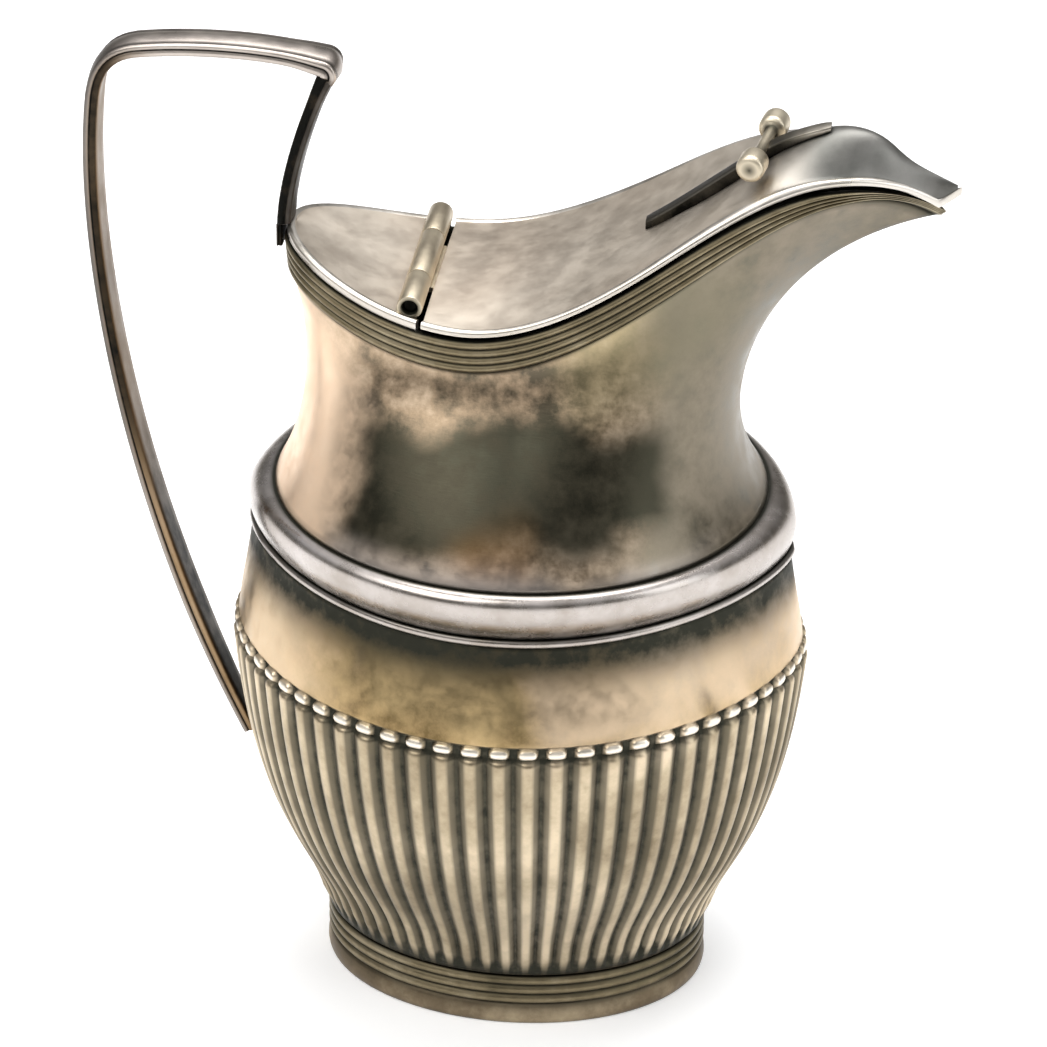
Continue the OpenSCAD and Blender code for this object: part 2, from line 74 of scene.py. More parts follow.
# Bowl: half length at its widest and at its top, and the flutes with a bead on each
BOWL_A = 58.1
BOWL_WIDE_Z = 79.0
BOWL_TOP_Z = BOWL_HIGH[2]
BOWL_TOP_A = 55.2
WALL = 1.0
FLUTES = 64
FLUTE_DEPTH = 1.3
FLUTE_TOP_Z = 80.5
BEAD_R = 1.35                       # half height of a bead
BEAD_FOOT_Z = FLUTE_TOP_Z - 2 * BEAD_R
BEAD_RISE = 0.68                    # how far a bead stands out, as a share of FLUTE_DEPTH
BEAD_SPREAD = 0.62                  # how far it spreads to the sides
SHADE_TARNISH_FROM_Z = 87                 # painted shade and tarnish darken the smooth belt from here up to the waist
SHADE_TARNISH_RUN = 11

# Foot
FOOT_H = BOWL_LOW[2]
FOOT_A = FOOT_HIGH[0] - 0.3
FOOT_B = FOOT_HIGH[1] - 0.3
FLANGE_H = REEDING_LOW[2]
FOOT_REEDS = 3
FOOT_WALL = 1.6

# Waist: shares of width to length and points of the plan, from the bowl up to the neck
BAND_Z = BAND_LOW[2]
NECK_Z = BAND_HIGH[2]
BAND_SWELL = 0.5
WAIST_RATIO = 0.82
BAND_RATIO = 0.887
BAND_RATIO_AT = 0.55                # share of the band's height that has BAND_RATIO
WAIST_POINT = 0.68
NECK_POINT = 0.5

# Neck: its foot, its narrowest place and how far it flares towards spout and rear
NECK_FOOT_A = 49.8
NECK_FOOT_B = NECK_HIGH[1]
NARROW_R = 39
NARROW_SPOUT_DRAW = 3
NARROW_RISE = 17
NARROW_SPOUT_RISE = 2.5
FLARE_X = 2.9
FLARE_SPOUT_R = 42
FLARE_REAR_R = 44.9
FLARE_SOFT = 0.02                   # keeps the rise towards the spout smooth at the flanks

# Mouth, and the plates and wires over it
EDGE_R = 0.8
WIRE_W = 2 * EDGE_R
LIP_X = 81.6
BEAK_REACH = WIRE_HIGH[0] - LIP_X
BEAK_Z = 184.4
BEAK_SLOPE = 0.62
BEAK_TAPER = 14                     # degrees over which the lid's wire runs out to the beak
MOUTH_REAR_X = COVER_WIRE_LOW[0]
MOUTH_W = 25.7
MOUTH_WIDE_X = 4.0
RIM_H = 7.0
RIM_SEAT = 0.6                      # how far the neck's top stands inside the lid's edge
REED_D = 0.6
RIM_REEDS = 4
SEAT_DROP = 1.5
LIP_DROP = 0.35
PLATE_T = 0.9
COVER_FRONT_X = COVER_HIGH[0]
LID_REAR_X = LID_LOW[0]
DOME_Z = LID_HIGH[2]
LID_DARK_X = 38                     # painted dark reflection: the lid turns darker from here to the dome
LID_DARK_RUN = 22

# Hinge
HINGE_X = (PIN_LOW[0] + PIN_HIGH[0]) / 2
HINGE_Z = (PIN_LOW[2] + PIN_HIGH[2]) / 2
PIN_R = (PIN_HIGH[2] - PIN_LOW[2]) / 2
PIN_PLAY = 0.05
KNUCKLE_R = (NEAR_HIGH[2] - NEAR_LOW[2]) / 2

# Thumb piece
STRAP_W = STRAP_HIGH[1]             # half of the strap's width
STRAP_T = 1.9
STRAP_ARCH = 1.4
STRAP_TAPER = 0.45
STRAP_GAP = 0.08
CROSSBAR_X = 46.5
CROSSBAR_LIFT = 3.2
CROSSBAR_TURN = math.radians(-8)

# Handle
HANDLE_W = 8.0
HANDLE_T = 3.1
TAIL_T = 2.8
HANDLE_TOP_Z = 204.7
HANDLE_REAR_X = -86.0
HANDLE_FRONT_X = -38.2
HANDLE_FOOT_SHARE = 0.74            # share of the way up the lower bowl where it ends
TONGUE_T = 1.4                      # tongue that holds the handle to the rim


# ---- curves -------------------------------------------------------------------------------

def bezier(a, b, c, d, t):
    """Point at t on the cubic curve a, b, c, d."""
    return (1 - t) ** 3 * a + 3 * (1 - t) ** 2 * t * b + 3 * (1 - t) * t * t * c + t ** 3 * d


def knot_curve(knots, x):
    """Height at x on the smooth curve through knots (x, height, slope)."""
    x = np.asarray(x, float)
    k = np.array(knots, float)
    i = np.clip(np.searchsorted(k[:, 0], x) - 1, 0, len(k) - 2)
    p, q = k[i], k[i + 1]
    span = q[..., 0] - p[..., 0]
    s = (x - p[..., 0]) / span
    return (p[..., 1] * (1 + 2 * s) * (1 - s) ** 2 + q[..., 1] * s * s * (3 - 2 * s)
            + span * (p[..., 2] * s * (1 - s) ** 2 - q[..., 2] * s * s * (1 - s)))


def smooth(x):
    """0 below 0, 1 above 1, smooth between."""
    x = np.clip(x, 0, 1)
    return x * x * (3 - 2 * x)


def turns(count):
    """Angles of count points round the object, in radians."""
    return np.arange(count) * 2 * math.pi / count


# ---- meshes -------------------------------------------------------------------------------

def make_object(name, points, faces, tarnish_shade_highlight=None, sharp_angle=None, tone=None):
    """Mesh object from points in millimetres. tarnish_shade_highlight is 1 deep in a hollow and
    in full painted shade, 0 on plain metal and -1 on a painted highlight; tone is how far a
    place is turned from the first patina of its material to the second."""
    mesh = bpy.data.meshes.new(name)
    mesh.from_pydata((np.asarray(points) * MM).tolist(), [], faces)
    mesh.polygons.foreach_set("use_smooth", [True] * len(mesh.polygons))
    for key, values in (("tarnish_shade_highlight", tarnish_shade_highlight), ("tone", tone)):
        layer = mesh.attributes.new(key, "FLOAT", "POINT")
        values = np.zeros(len(points)) if values is None else np.asarray(values, float).ravel()
        layer.data.foreach_set("value", values.astype(np.float32))
    if sharp_angle:
        mesh.set_sharp_from_angle(angle=math.radians(sharp_angle))
    mesh.validate()
    mesh.update()
    obj = bpy.data.objects.new(name, mesh)
    bpy.context.scene.collection.objects.link(obj)
    return obj


def skin(rows, cols, closed_rows, closed_cols, start=0):
    """Quads through a grid of points stored row after row."""
    faces = []
    for i in range(rows if closed_rows else rows - 1):
        a, b = start + i * cols, start + ((i + 1) % rows) * cols
        for j in range(cols if closed_cols else cols - 1):
            k = (j + 1) % cols
            faces.append((a + j, a + k, b + k, b + j))
    return faces


def ring_skin(name, rings, tarnish_shade_highlight=None, closed=True, sharp_angle=None, tone=None):
    """Object through closed rings of points. closed joins the last ring to the first one,
    otherwise each end is filled flat."""
    rings = np.asarray(rings, float)
    rows, cols = rings.shape[:2]
    faces = skin(rows, cols, closed, True)
    if not closed:
        last = (rows - 1) * cols
        faces.append(tuple(range(cols - 1, -1, -1)))
        faces.append(tuple(last + j for j in range(cols)))
    return make_object(name, rings.reshape(-1, 3), faces, tarnish_shade_highlight, sharp_angle, tone)


def merge(name, parts):
    """One object from several, keeping every attribute."""
    with bpy.context.temp_override(active_object=parts[0], selected_editable_objects=parts):
        bpy.ops.object.join()
    parts[0].name = name
    parts[0].data.name = name
    return parts[0]


# ---- plan of the body ---------------------------------------------------------------------

# Share of width to length, and point of the plan, by height: (height, value, slope)
RATIO_KNOTS = [(FOOT_H, FOOT_B / FOOT_A, 0.001), (40, 0.82, 0.0021), (78, 0.8768, 0),
               (BOWL_TOP_Z, 0.81, -0.003)]
POINT_KNOTS = [(FOOT_H, 0.52, 0), (40, 0.55, 0.0008), (78, 0.58, 0.002),
               (BOWL_TOP_Z, 0.68, 0.004)]


def body_ring(a, b, q, z, angles, swell=0.0):
    """Ring of half length a and half width b whose ends are pointed by q; 0.5 is an oval."""
    sn = np.sin(angles)
    y = np.sign(sn) * np.abs(sn) ** (2 * q)
    return np.stack([(a + swell) * np.cos(angles), (b + swell) * y,
                     np.zeros_like(angles) + z], axis=-1)


def bowl_low(s):
    """Half length and height of the smooth bowl below its widest place."""
    return (bezier(FOOT_A + 0.3, FOOT_A + 1.4, BOWL_A - 4, BOWL_A, s),
            bezier(FOOT_H, FOOT_H + 16.8, FOOT_H + 17.4, BOWL_WIDE_Z, s))


def bowl_high(s):
    """Half length and height of the smooth bowl above its widest place."""
    return (bezier(BOWL_A, BOWL_A, BOWL_TOP_A + 0.6, BOWL_TOP_A, s),
            bezier(BOWL_WIDE_Z, BOWL_WIDE_Z + 5, BOWL_TOP_Z - 7, BOWL_TOP_Z, s))


def flute_relief(angles, z):
    """(relief, darkness) of the flutes at height z: each round ridge carries a bead on its top, with
    a painted highlight on the bead.
    """
    wave = np.abs(np.sin(FLUTES * angles / 2))
    ridge = np.clip((wave - 0.1) / 0.9, 0, 1) ** 0.8
    foot = np.clip((z - FOOT_H) / 5, 0, 1)
    round_top = np.clip((BEAD_FOOT_Z - z) / 1.2, 0, 1) ** 0.5
    up = (z - BEAD_FOOT_Z - BEAD_R) / BEAD_R
    side = (1 - wave) / BEAD_SPREAD
    bead = np.sqrt(np.clip(1 - up * up - side * side, 0, 1))
    relief = FLUTE_DEPTH * np.maximum(ridge * foot * round_top, bead * BEAD_RISE)
    above_seam = z > BEAD_FOOT_Z
    seam = np.exp(-((z - BEAD_FOOT_Z) / 0.35) ** 2)
    fluted = smooth((FLUTE_TOP_Z + 0.3 - z) / 0.8)
    gap = fluted * above_seam * smooth((0.55 - bead) / 0.35)
    edge, middle = smooth((0.96 - wave) / 0.3), smooth((0.5 - wave) / 0.4)
    valley = (not above_seam) * (0.75 * edge + 0.25 * middle)
    at_foot = 1 - smooth((z - FOOT_H - 0.5) / 4)
    tarnish_shade_highlight = np.maximum(valley * 0.95, gap) + seam * 0.9 + at_foot * 0.9
    # painted highlight on the top of each bead, given as negative darkness
    bead_highlight = smooth((bead - 0.6) / 0.3) * above_seam
    return relief - 0.5 * gap, np.clip(tarnish_shade_highlight, 0, 1) - 0.9 * bead_highlight


def bowl_ring(a, z, angles, swell):
    """Ring of the bowl of half length a at height z, made larger by swell."""
    ratio = float(knot_curve(RATIO_KNOTS, z))
    return body_ring(a, a * ratio, float(knot_curve(POINT_KNOTS, z)), z, angles, swell)


def build_bowl():
    angles = turns(FLUTES * 16)
    shares = np.concatenate([np.linspace(0, 0.9, 40), np.linspace(0.905, 1, 26)])
    outer = [bowl_low(s) for s in shares]
    outer += [bowl_high(s) for s in np.linspace(0.006, 0.16, 16)]
    outer += [bowl_high(s) for s in np.linspace(0.2, 1, 18)]
    rings, ring_tarnish_shade_highlight, tones = [], [], []
    for a, z in outer:
        relief, tarnish_shade_highlight = flute_relief(angles, z)
        # painted shade and tarnish under the waist band, darker towards it
        under_waist_shade = float(smooth((z - SHADE_TARNISH_FROM_Z) / SHADE_TARNISH_RUN)) ** 1.3
        belt = float(smooth((z - FLUTE_TOP_Z + 0.4) / 0.8))
        rings.append(bowl_ring(a, z, angles, relief))
        ring_tarnish_shade_highlight.append(np.clip(tarnish_shade_highlight + under_waist_shade, -1, 1))
        tones.append(np.full(len(angles), belt))
    inner = [bowl_high(1), bowl_high(0.5)] + [bowl_low(s) for s in np.linspace(1, 0.15, 14)]
    rings += [bowl_ring(a, z, angles, -WALL) for a, z in inner]
    floor = [(0.8, WALL), (0.5, WALL), (0.02, WALL), (0.02, 0.02), (0.6, 0.02), (0.97, 0.02)]
    rings += [bowl_ring(FOOT_A * share, FOOT_H + up, angles, 0) for share, up in floor]
    plain = len(inner) + len(floor)
    ring_tarnish_shade_highlight += [np.full(len(angles), 0.5)] * plain
    tones += [np.ones(len(angles))] * plain
    return ring_skin("bowl_fluted", rings, np.array(ring_tarnish_shade_highlight), tone=np.array(tones))


# ---- foot ---------------------------------------------------------------------------------

def oval(inset, z, angles):
    """Ring of the foot, inset from its widest outline."""
    return body_ring(FOOT_A - inset, FOOT_B - inset, 0.5, z, angles)


def build_foot_collar():
    angles = turns(240)
    profile = [(0.35, 0.0), (0.0, 0.25), (-0.2, 0.8), (-0.3, 1.4), (-0.25, 2.4),
               (0.0, FLANGE_H - 1.0), (0.35, FLANGE_H - 0.3), (0.8, FLANGE_H),
               (0.8, FOOT_H - 0.8), (0.45, FOOT_H - 0.5), (0.2, FOOT_H - 0.15), (0.3, FOOT_H),
               (FOOT_WALL, FOOT_H), (FOOT_WALL + 0.4, 0.0)]
    dark = [0.5, 0.3, 0.1, 0.0, 0.05, 0.3, 0.7, 1, 1, 0.6, 0.9, 1, 1, 0.8]
    rings = [oval(inset, z, angles) for inset, z in profile]
    return ring_skin("foot_flange", rings, np.repeat(dark, len(angles)))


def build_foot_reeding():
    angles = turns(240)
    steps = 10 * FOOT_REEDS
    height = REEDING_HIGH[2] - REEDING_LOW[2]
    rings, dark = [], []
    for i in range(steps + 1):
        swell = abs(math.sin(math.pi * i * FOOT_REEDS / steps))
        rings.append(oval(0.53 - 0.7 * swell ** 0.7, REEDING_LOW[2] + height * i / steps, angles))
        dark.append((1 - swell) ** 1.2)
    rings += [oval(0.78, REEDING_HIGH[2], angles), oval(0.78, REEDING_LOW[2], angles)]
    dark += [1, 1]
    return ring_skin("foot_reeds", rings, np.repeat(dark, len(angles)))


# ---- waist --------------------------------------------------------------------------------

def waist_ring(a, s, z, angles):
    """Ring of half length a at share s of the way from the bowl's plan to the neck's."""
    neck_ratio = NECK_FOOT_B / NECK_FOOT_A
    if s < BAND_RATIO_AT:
        ratio = WAIST_RATIO + (BAND_RATIO - WAIST_RATIO) * s / BAND_RATIO_AT
    else:
        left = (s - BAND_RATIO_AT) / (1 - BAND_RATIO_AT)
        ratio = BAND_RATIO + (neck_ratio - BAND_RATIO) * left
    return body_ring(a, a * ratio, WAIST_POINT + (NECK_POINT - WAIST_POINT) * s, z, angles)


def build_waist_bead():
    angles = turns(240)
    r = (BAND_Z - BOWL_TOP_Z) / 2
    rings, dark = [], []
    for t in np.linspace(-math.pi / 2, math.pi / 2, 13):
        rings.append(waist_ring(BOWL_TOP_A - 0.3 + r * math.cos(t), 0,
                                BOWL_TOP_Z + r + r * math.sin(t), angles))
        dark.append(abs(math.sin(t)) ** 2)
    rings += [waist_ring(BOWL_TOP_A - WALL, 0, BAND_Z, angles),
              waist_ring(BOWL_TOP_A - WALL, 0, BOWL_TOP_Z, angles)]
    dark += [1, 1]
    return ring_skin("waist_wire", rings, np.repeat(dark, len(angles)))


def build_waist_band():
    angles = turns(240)
    lip_a, swell_a = BOWL_TOP_A - 0.5, BOWL_TOP_A + BAND_SWELL
    steps = 40
    rings, dark = [], []
    for i in range(steps + 1):
        s = i / steps
        a = bezier(lip_a, swell_a + 0.7, swell_a + 1.2, NECK_FOOT_A + 0.4, s)
        z = bezier(BAND_Z, BAND_Z + 4, NECK_Z - 1.2, NECK_Z, s)
        rings.append(waist_ring(a, s, z, angles))
        dark.append(max(1 - s * 9, (s - 0.94) / 0.06, 0))
    rings += [waist_ring(NECK_FOOT_A - WALL, 1, NECK_Z, angles),
              waist_ring(NECK_FOOT_A - WALL, 0.9, NECK_Z - 1.4, angles),
              waist_ring(BOWL_TOP_A - WALL, 0.15, BAND_Z + 2, angles),
              waist_ring(BOWL_TOP_A - WALL, 0, BAND_Z, angles)]
    dark += [1, 0.5, 0.5, 1]
    return ring_skin("waist_moulding", rings, np.repeat(dark, len(angles)))


# ---- mouth and neck -----------------------------------------------------------------------

EDGE_KNOTS = [(MOUTH_REAR_X, 167.7, -0.45), (-10.5, 158, 0), (28, 174, 0.68), (61, 189, 0),
              (LIP_X, 181.6, -0.85)]


def edge_z(x):
    """Height of the middle of the lid edge along X."""
    return knot_curve(EDGE_KNOTS, np.minimum(LIP_X, x))


def mouth_xy(angle, inset=0.0, reach=0.0):
    """Outline of the mouth from above, in degrees; 0 is the lip and 180 the rear."""
    angle = np.asarray(angle, float) % 360
    side = np.where(angle > 180, -1.0, 1.0)
    a = np.where(angle > 180, 360 - angle, angle)
    tip, w, rear = LIP_X + reach - 1.9 * inset, MOUTH_W - inset, MOUTH_REAR_X + inset
    front = a <= 90
    t = np.where(front, 1 - a / 90, (a - 90) / 90)
    x = np.where(front,
                 bezier(MOUTH_WIDE_X, MOUTH_WIDE_X + 26, tip - 23.6 - 2 * reach, tip, t),
                 bezier(MOUTH_WIDE_X, MOUTH_WIDE_X - 24, rear, rear, t))
    y = np.where(front, bezier(w, w, 14 - inset, 0, t), bezier(w, w, 16.5 - inset, 0, t))
    return x, side * y


def lipness(angle):
    """1 at the tip of the lip, 0 from 60 degrees on."""
    angle = np.asarray(angle, float) % 360
    a = np.where(angle > 180, 360 - angle, angle)
    return np.cos(np.radians(np.minimum(90, 1.5 * a)))


def rim_height(angle):
    """Height of the reeded band, which narrows to 0.9 at the lip."""
    return RIM_H - (RIM_H - 0.9) * lipness(angle) ** 2


def rim_top_z(angle):
    return edge_z(mouth_xy(angle)[0]) - SEAT_DROP - LIP_DROP * lipness(angle)


def rim_foot(angle, inset=0.0):
    """Where the neck ends and the rim band stands on it."""
    x, y = mouth_xy(angle, inset + RIM_SEAT)
    return x, y, rim_top_z(angle) - rim_height(angle)


FLARE_SIDE_Z = float(rim_foot(90)[2]) - 12
FLARE_SPOUT_RISE = float(rim_foot(0)[2]) - 10.5 - FLARE_SIDE_Z
FLARE_REAR_RISE = float(rim_foot(180)[2]) - 13 - FLARE_SIDE_Z


def neck_ring(angle, s, inset):
    """Ring of the neck at share s of the way up; every line up its side is one cubic curve."""
    c, sn = np.cos(np.radians(angle)), np.sin(np.radians(angle))
    narrow_r = NARROW_R - NARROW_SPOUT_DRAW * c - inset
    ex, ey, ez = rim_foot(angle, inset)
    flat = FLARE_SOFT ** 0.4
    spout = ((c * c + FLARE_SOFT) ** 0.4 - flat) / ((1 + FLARE_SOFT) ** 0.4 - flat)
    rise = np.where(c > 0, FLARE_SPOUT_RISE * spout, FLARE_REAR_RISE * np.abs(c) ** 1.5)
    flare_x = FLARE_X + (np.where(c > 0, FLARE_SPOUT_R, FLARE_REAR_R) - inset) * c
    flare_y = (MOUTH_W - RIM_SEAT - inset) * sn
    narrow_z = NECK_Z + NARROW_RISE + NARROW_SPOUT_RISE * c
    x = bezier((NECK_FOOT_A - inset) * c, narrow_r * c, flare_x, ex, s)
    y = bezier((NECK_FOOT_B - inset) * sn, narrow_r * sn, flare_y, ey, s)
    z = bezier(NECK_Z, narrow_z, FLARE_SIDE_Z + rise, ez, s)
    return np.stack([x, y, z], axis=-1)


def build_neck():
    angle = np.degrees(turns(360))
    steps = 56
    rings, dark = [], []
    for i in range(steps + 1):
        s = i / steps
        rings.append(neck_ring(angle, s, 0))
        dark.append(max(1 - s * 40, (s - 0.97) * 30, 0))
    for s in np.linspace(1, 0, 24):
        rings.append(neck_ring(angle, s, WALL))
        dark.append(0.6)
    return ring_skin("neck_shell", rings, np.repeat(dark, len(angle)))


def build_rim_reeding():
    angle = np.degrees(turns(360))
    steps = 10 * RIM_REEDS
    rings, dark = [], []
    for i in range(steps + 1):
        s = i / steps
        swell = abs(math.sin(math.pi * RIM_REEDS * s))
        x, y = mouth_xy(angle, RIM_SEAT * (1 - s) - REED_D * swell ** 0.7)
        rings.append(np.stack([x, y, rim_top_z(angle) - rim_height(angle) * (1 - s)], axis=-1))
        dark.append((1 - swell) ** 1.2)
    x, y = mouth_xy(angle, WALL)
    rings.append(np.stack([x, y, rim_top_z(angle)], axis=-1))
    rings.append(np.stack(rim_foot(angle, WALL), axis=-1))
    dark += [1, 1]
    return ring_skin("rim_reeds", rings, np.repeat(dark, len(angle)))


# ---- plates with a wire edge --------------------------------------------------------------

def angle_at(x, inset, reach):
    """Angle at which the outline, made smaller by inset, passes x."""
    low, high = 0.0, 180.0
    for _ in range(40):
        middle = (low + high) / 2
        if mouth_xy(middle, inset, reach)[0] > x:
            low = middle
        else:
            high = middle
    return (low + high) / 2


def dome_shape(v):
    """1 in the middle, 0 at the edge where the dome runs out flat."""
    return np.maximum(0, 1 - v * v) ** 1.3


def plate_rings(stations, cols=40):
    """Closed slices of a plate: each station is (x, half width, edge height, rise)."""
    v = np.linspace(-1, 1, cols + 1)
    rings = []
    for x, w, z, rise in stations:
        height = z + rise * dome_shape(v)
        lower = np.stack([np.full_like(v, x), v * w, height - PLATE_T / 2], axis=-1)
        upper = np.stack([np.full_like(v, x), v * w, height + PLATE_T / 2], axis=-1)
        rings.append(np.concatenate([lower, upper[::-1]]))
    return np.array(rings)


def wire_rings(stations):
    """Slices of the edge wire: each station is (outer point, inner point, reach downward)."""
    rings = []
    up = np.array([0, 0, 1.0])
    bend = np.linspace(-0.25 * math.pi, 0.5 * math.pi, 9)
    for p, q, low in stations:
        p, q = np.array(p), np.array(q)
        middle = (p + q) / 2
        ring = [q - low * up, 0.75 * p + 0.25 * q - low * up, 0.98 * p + 0.02 * q - 0.6 * low * up]
        ring += [middle + (p - middle) * math.cos(t) + EDGE_R * math.sin(t) * up for t in bend[1:]]
        ring.append(q + PLATE_T / 2 * up)
        rings.append(ring[::-1])
    return np.array(rings)


# ---- rear cover ---------------------------------------------------------------------------

COVER_ANGLE = angle_at(COVER_FRONT_X, WIRE_W, 0)
COVER_END_ANGLE = 178.0


def cover_angles(count):
    """Angles along one side of the rear cover, from the rear to the hinge."""
    return np.linspace(COVER_END_ANGLE, COVER_ANGLE, count)


def build_rear_cover():
    stations = []
    for a in cover_angles(40):
        x, y = mouth_xy(a, WIRE_W)
        stations.append((float(x), float(y), float(edge_z(mouth_xy(a)[0])), -0.4))
    return ring_skin("rear_deck", plate_rings(stations), closed=False, sharp_angle=40)


def build_cover_wire():
    """Wire round the cover, which runs on under the hinge almost to the lid's wire."""
    wire_end = angle_at(LID_REAR_X - 1.0, WIRE_W, 0)
    side = np.concatenate([cover_angles(40), [(COVER_ANGLE + wire_end) / 2, wire_end]])
    angles = np.concatenate([side[::-1], [180], 360 - side])
    stations = []
    for a in angles:
        p, q = mouth_xy(a), mouth_xy(a, WIRE_W)
        z = float(edge_z(p[0]))
        stations.append(((*p, z), (*q, z), z - float(rim_top_z(a))))
    return ring_skin("rear_deck_wire", wire_rings(stations), closed=False, sharp_angle=50)


# ---- hinge --------------------------------------------------------------------------------

def barrel(name, y0, y1, bore_r):
    """Rolled barrel of the hinge: a tube along Y with softly rounded ends."""
    soft = 0.25
    profile = [(bore_r, y0 + soft), (bore_r + soft, y0), (KNUCKLE_R - soft, y0),
               (KNUCKLE_R - 0.07, y0 + 0.07), (KNUCKLE_R, y0 + soft), (KNUCKLE_R, (y0 + y1) / 2),
               (KNUCKLE_R, y1 - soft), (KNUCKLE_R - 0.07, y1 - 0.07), (KNUCKLE_R - soft, y1),
               (bore_r + soft, y1), (bore_r, y1 - soft)]
    dark = [1, 0.8, 0.3, 0, 0, 0, 0, 0, 0.3, 0.8, 1]
    angles = turns(64)
    rings = [np.stack([HINGE_X + r * np.cos(angles), np.full_like(angles, y),
                       HINGE_Z + r * np.sin(angles)], axis=-1) for r, y in profile]
    return ring_skin(name, rings, np.repeat(dark, len(angles)), sharp_angle=45)


def leaf(name, x0, x1, y0, y1):
    """Flat leaf that joins a barrel to its plate, with rounded long edges."""
    z0, thick, soft = HINGE_Z - KNUCKLE_R, 1.4, 0.3
    section = [(z0, soft), (z0, 0), (z0 + thick - soft, 0), (z0 + thick, soft)]
    rings = []
    for x in np.linspace(x0, x1, 4):
        near = [(x, y0 + off, z) for z, off in section]
        far = [(x, y1 - off, z) for z, off in reversed(section)]
        rings.append(near + far)
    return ring_skin(name, rings, closed=False, sharp_angle=40)


def build_knuckle(name, node, leaf_x, bore_r):
    """Barrel with the leaf that joins it to its plate, whose edge is at leaf_x."""
    low, high = node_box(node)
    tube = barrel(name + "_tube", low[1], high[1], bore_r)
    x0, x1 = sorted((leaf_x, HINGE_X + math.copysign(KNUCKLE_R * 0.6, leaf_x - HINGE_X)))
    return merge(name, [tube, leaf(name + "_leaf", x0, x1, low[1], high[1])])


def build_pin():
    angles = turns(48)
    soft = 0.3
    profile = [(0.05, PIN_LOW[1] + 0.3), (PIN_R * 0.5, PIN_LOW[1] + 0.1), (PIN_R - soft, PIN_LOW[1]),
               (PIN_R, PIN_LOW[1] + soft), (PIN_R, PIN_HIGH[1] - soft),
               (PIN_R - soft, PIN_HIGH[1]), (0.05, PIN_HIGH[1])]
    rings = [np.stack([HINGE_X + r * np.cos(angles), np.full_like(angles, y),
                       HINGE_Z + r * np.sin(angles)], axis=-1) for r, y in profile]
    return ring_skin("hinge_rod", rings, np.ones(len(profile) * len(angles)), closed=False)


# ---- lid ----------------------------------------------------------------------------------

CREST_KNOTS = [(LID_REAR_X, 158.9, 0.02), (24, 171.3, 0.6), (43, 184.6, 0.83), (51, 191, 0.6),
               (63.3, DOME_Z - PLATE_T / 2, 0), (72.2, 192.2, -0.95), (77, 188.6, -0.5),
               (85.3, 184.7, -0.5)]
LID_END_ANGLE = 0.5


def crest_z(x):
    """Height of the middle of the lid."""
    return knot_curve(CREST_KNOTS, x)


def lid_edge_z(x):
    """The lid edge follows the rim, and rises past the lip to the point of the beak."""
    return np.maximum(edge_z(x), BEAK_Z - BEAK_SLOPE * (LIP_X + BEAK_REACH - np.asarray(x)))


def lid_wire_points(angle):
    """Outline point and inner point of the lid wire, which runs out thin at the beak. The
    inner one is never the lower one."""
    width = WIRE_W * max(0.1, min(1, min(angle, 360 - angle) / BEAK_TAPER))
    p, q = mouth_xy(angle, 0, BEAK_REACH), mouth_xy(angle, width, BEAK_REACH)
    z = float(lid_edge_z(p[0]))
    return (*p, z), (*q, max(z, float(lid_edge_z(q[0]))))


LID_ANGLE = angle_at(LID_REAR_X, WIRE_W, BEAK_REACH)


def lid_angles(count):
    """Angles along one side of the lid, from the hinge to the beak, closer together there."""
    share = (1 - np.linspace(0, 1, count)) ** 1.2
    return LID_END_ANGLE + (LID_ANGLE - LID_END_ANGLE) * share


def build_lid():
    stations = []
    for a in lid_angles(96):
        x, y, z = lid_wire_points(a)[1]
        stations.append((float(x), float(y), z, float(crest_z(x)) - z))
    rings = plate_rings(stations, 56)
    # painted dark reflection towards the dome and the beak
    tone = smooth((rings[..., 0] - LID_DARK_X) / LID_DARK_RUN)
    return ring_skin("lid_plate", rings, closed=False, sharp_angle=50, tone=tone)


def build_lid_wire():
    side = lid_angles(96)
    angles = np.concatenate([360 - side, [0], side[::-1]])
    stations = []
    for a in angles:
        stations.append((*lid_wire_points(a), EDGE_R))
    return ring_skin("lid_wire", wire_rings(stations), closed=False, sharp_angle=50)


# ---- thumb piece --------------------------------------------------------------------------

def strap_z(x):
    """Height of the strap's underside."""
    return crest_z(x) + PLATE_T / 2 + STRAP_GAP


def build_thumb_strap():
    """Arched strap, dark with painted shade that is black on its sides, and with a painted highlight
    on top of its front end.
    """
    rings = []
    shares = np.linspace(0, 1, 60)
    for share in shares:
        x = STRAP_LOW[0] + (STRAP_HIGH[0] - STRAP_LOW[0]) * share
        z = float(strap_z(x))
        thick = STRAP_T * (1 - STRAP_TAPER * share * share)
        thick += STRAP_ARCH * max(0.0, math.sin(math.pi * share)) ** 1.5
        ends = (STRAP_HIGH[0] - STRAP_LOW[0]) * min(share, 1 - share)
        w = STRAP_W * (0.8 + 0.2 * float(smooth(ends / 1.6)))
        half = [(w, 0), (w, thick - 0.6), (w, thick - 0.45), (w * 0.9, thick - 0.15),
                (w * 0.5, thick)]
        section = half + [(-p, h) for p, h in reversed(half)]
        rings.append([(x, p, z + h) for p, h in section])
    # painted shade over the strap, black on its sides, and a painted highlight on top of its front
    # end
    front_highlight = smooth((shares - 0.72) / 0.2)[:, None]
    sides = np.array([1, 1, 1, 1, 0.9, 0.8, 0.8, 0.8, 0.9, 1])
    top = np.array([0, 0, 0, 0, 1, 1, 1, 1, 1, 0])
    tarnish_shade_highlight = sides - front_highlight * top * 1.1
    return ring_skin("thumb_rib", rings, tarnish_shade_highlight, closed=False, sharp_angle=45)


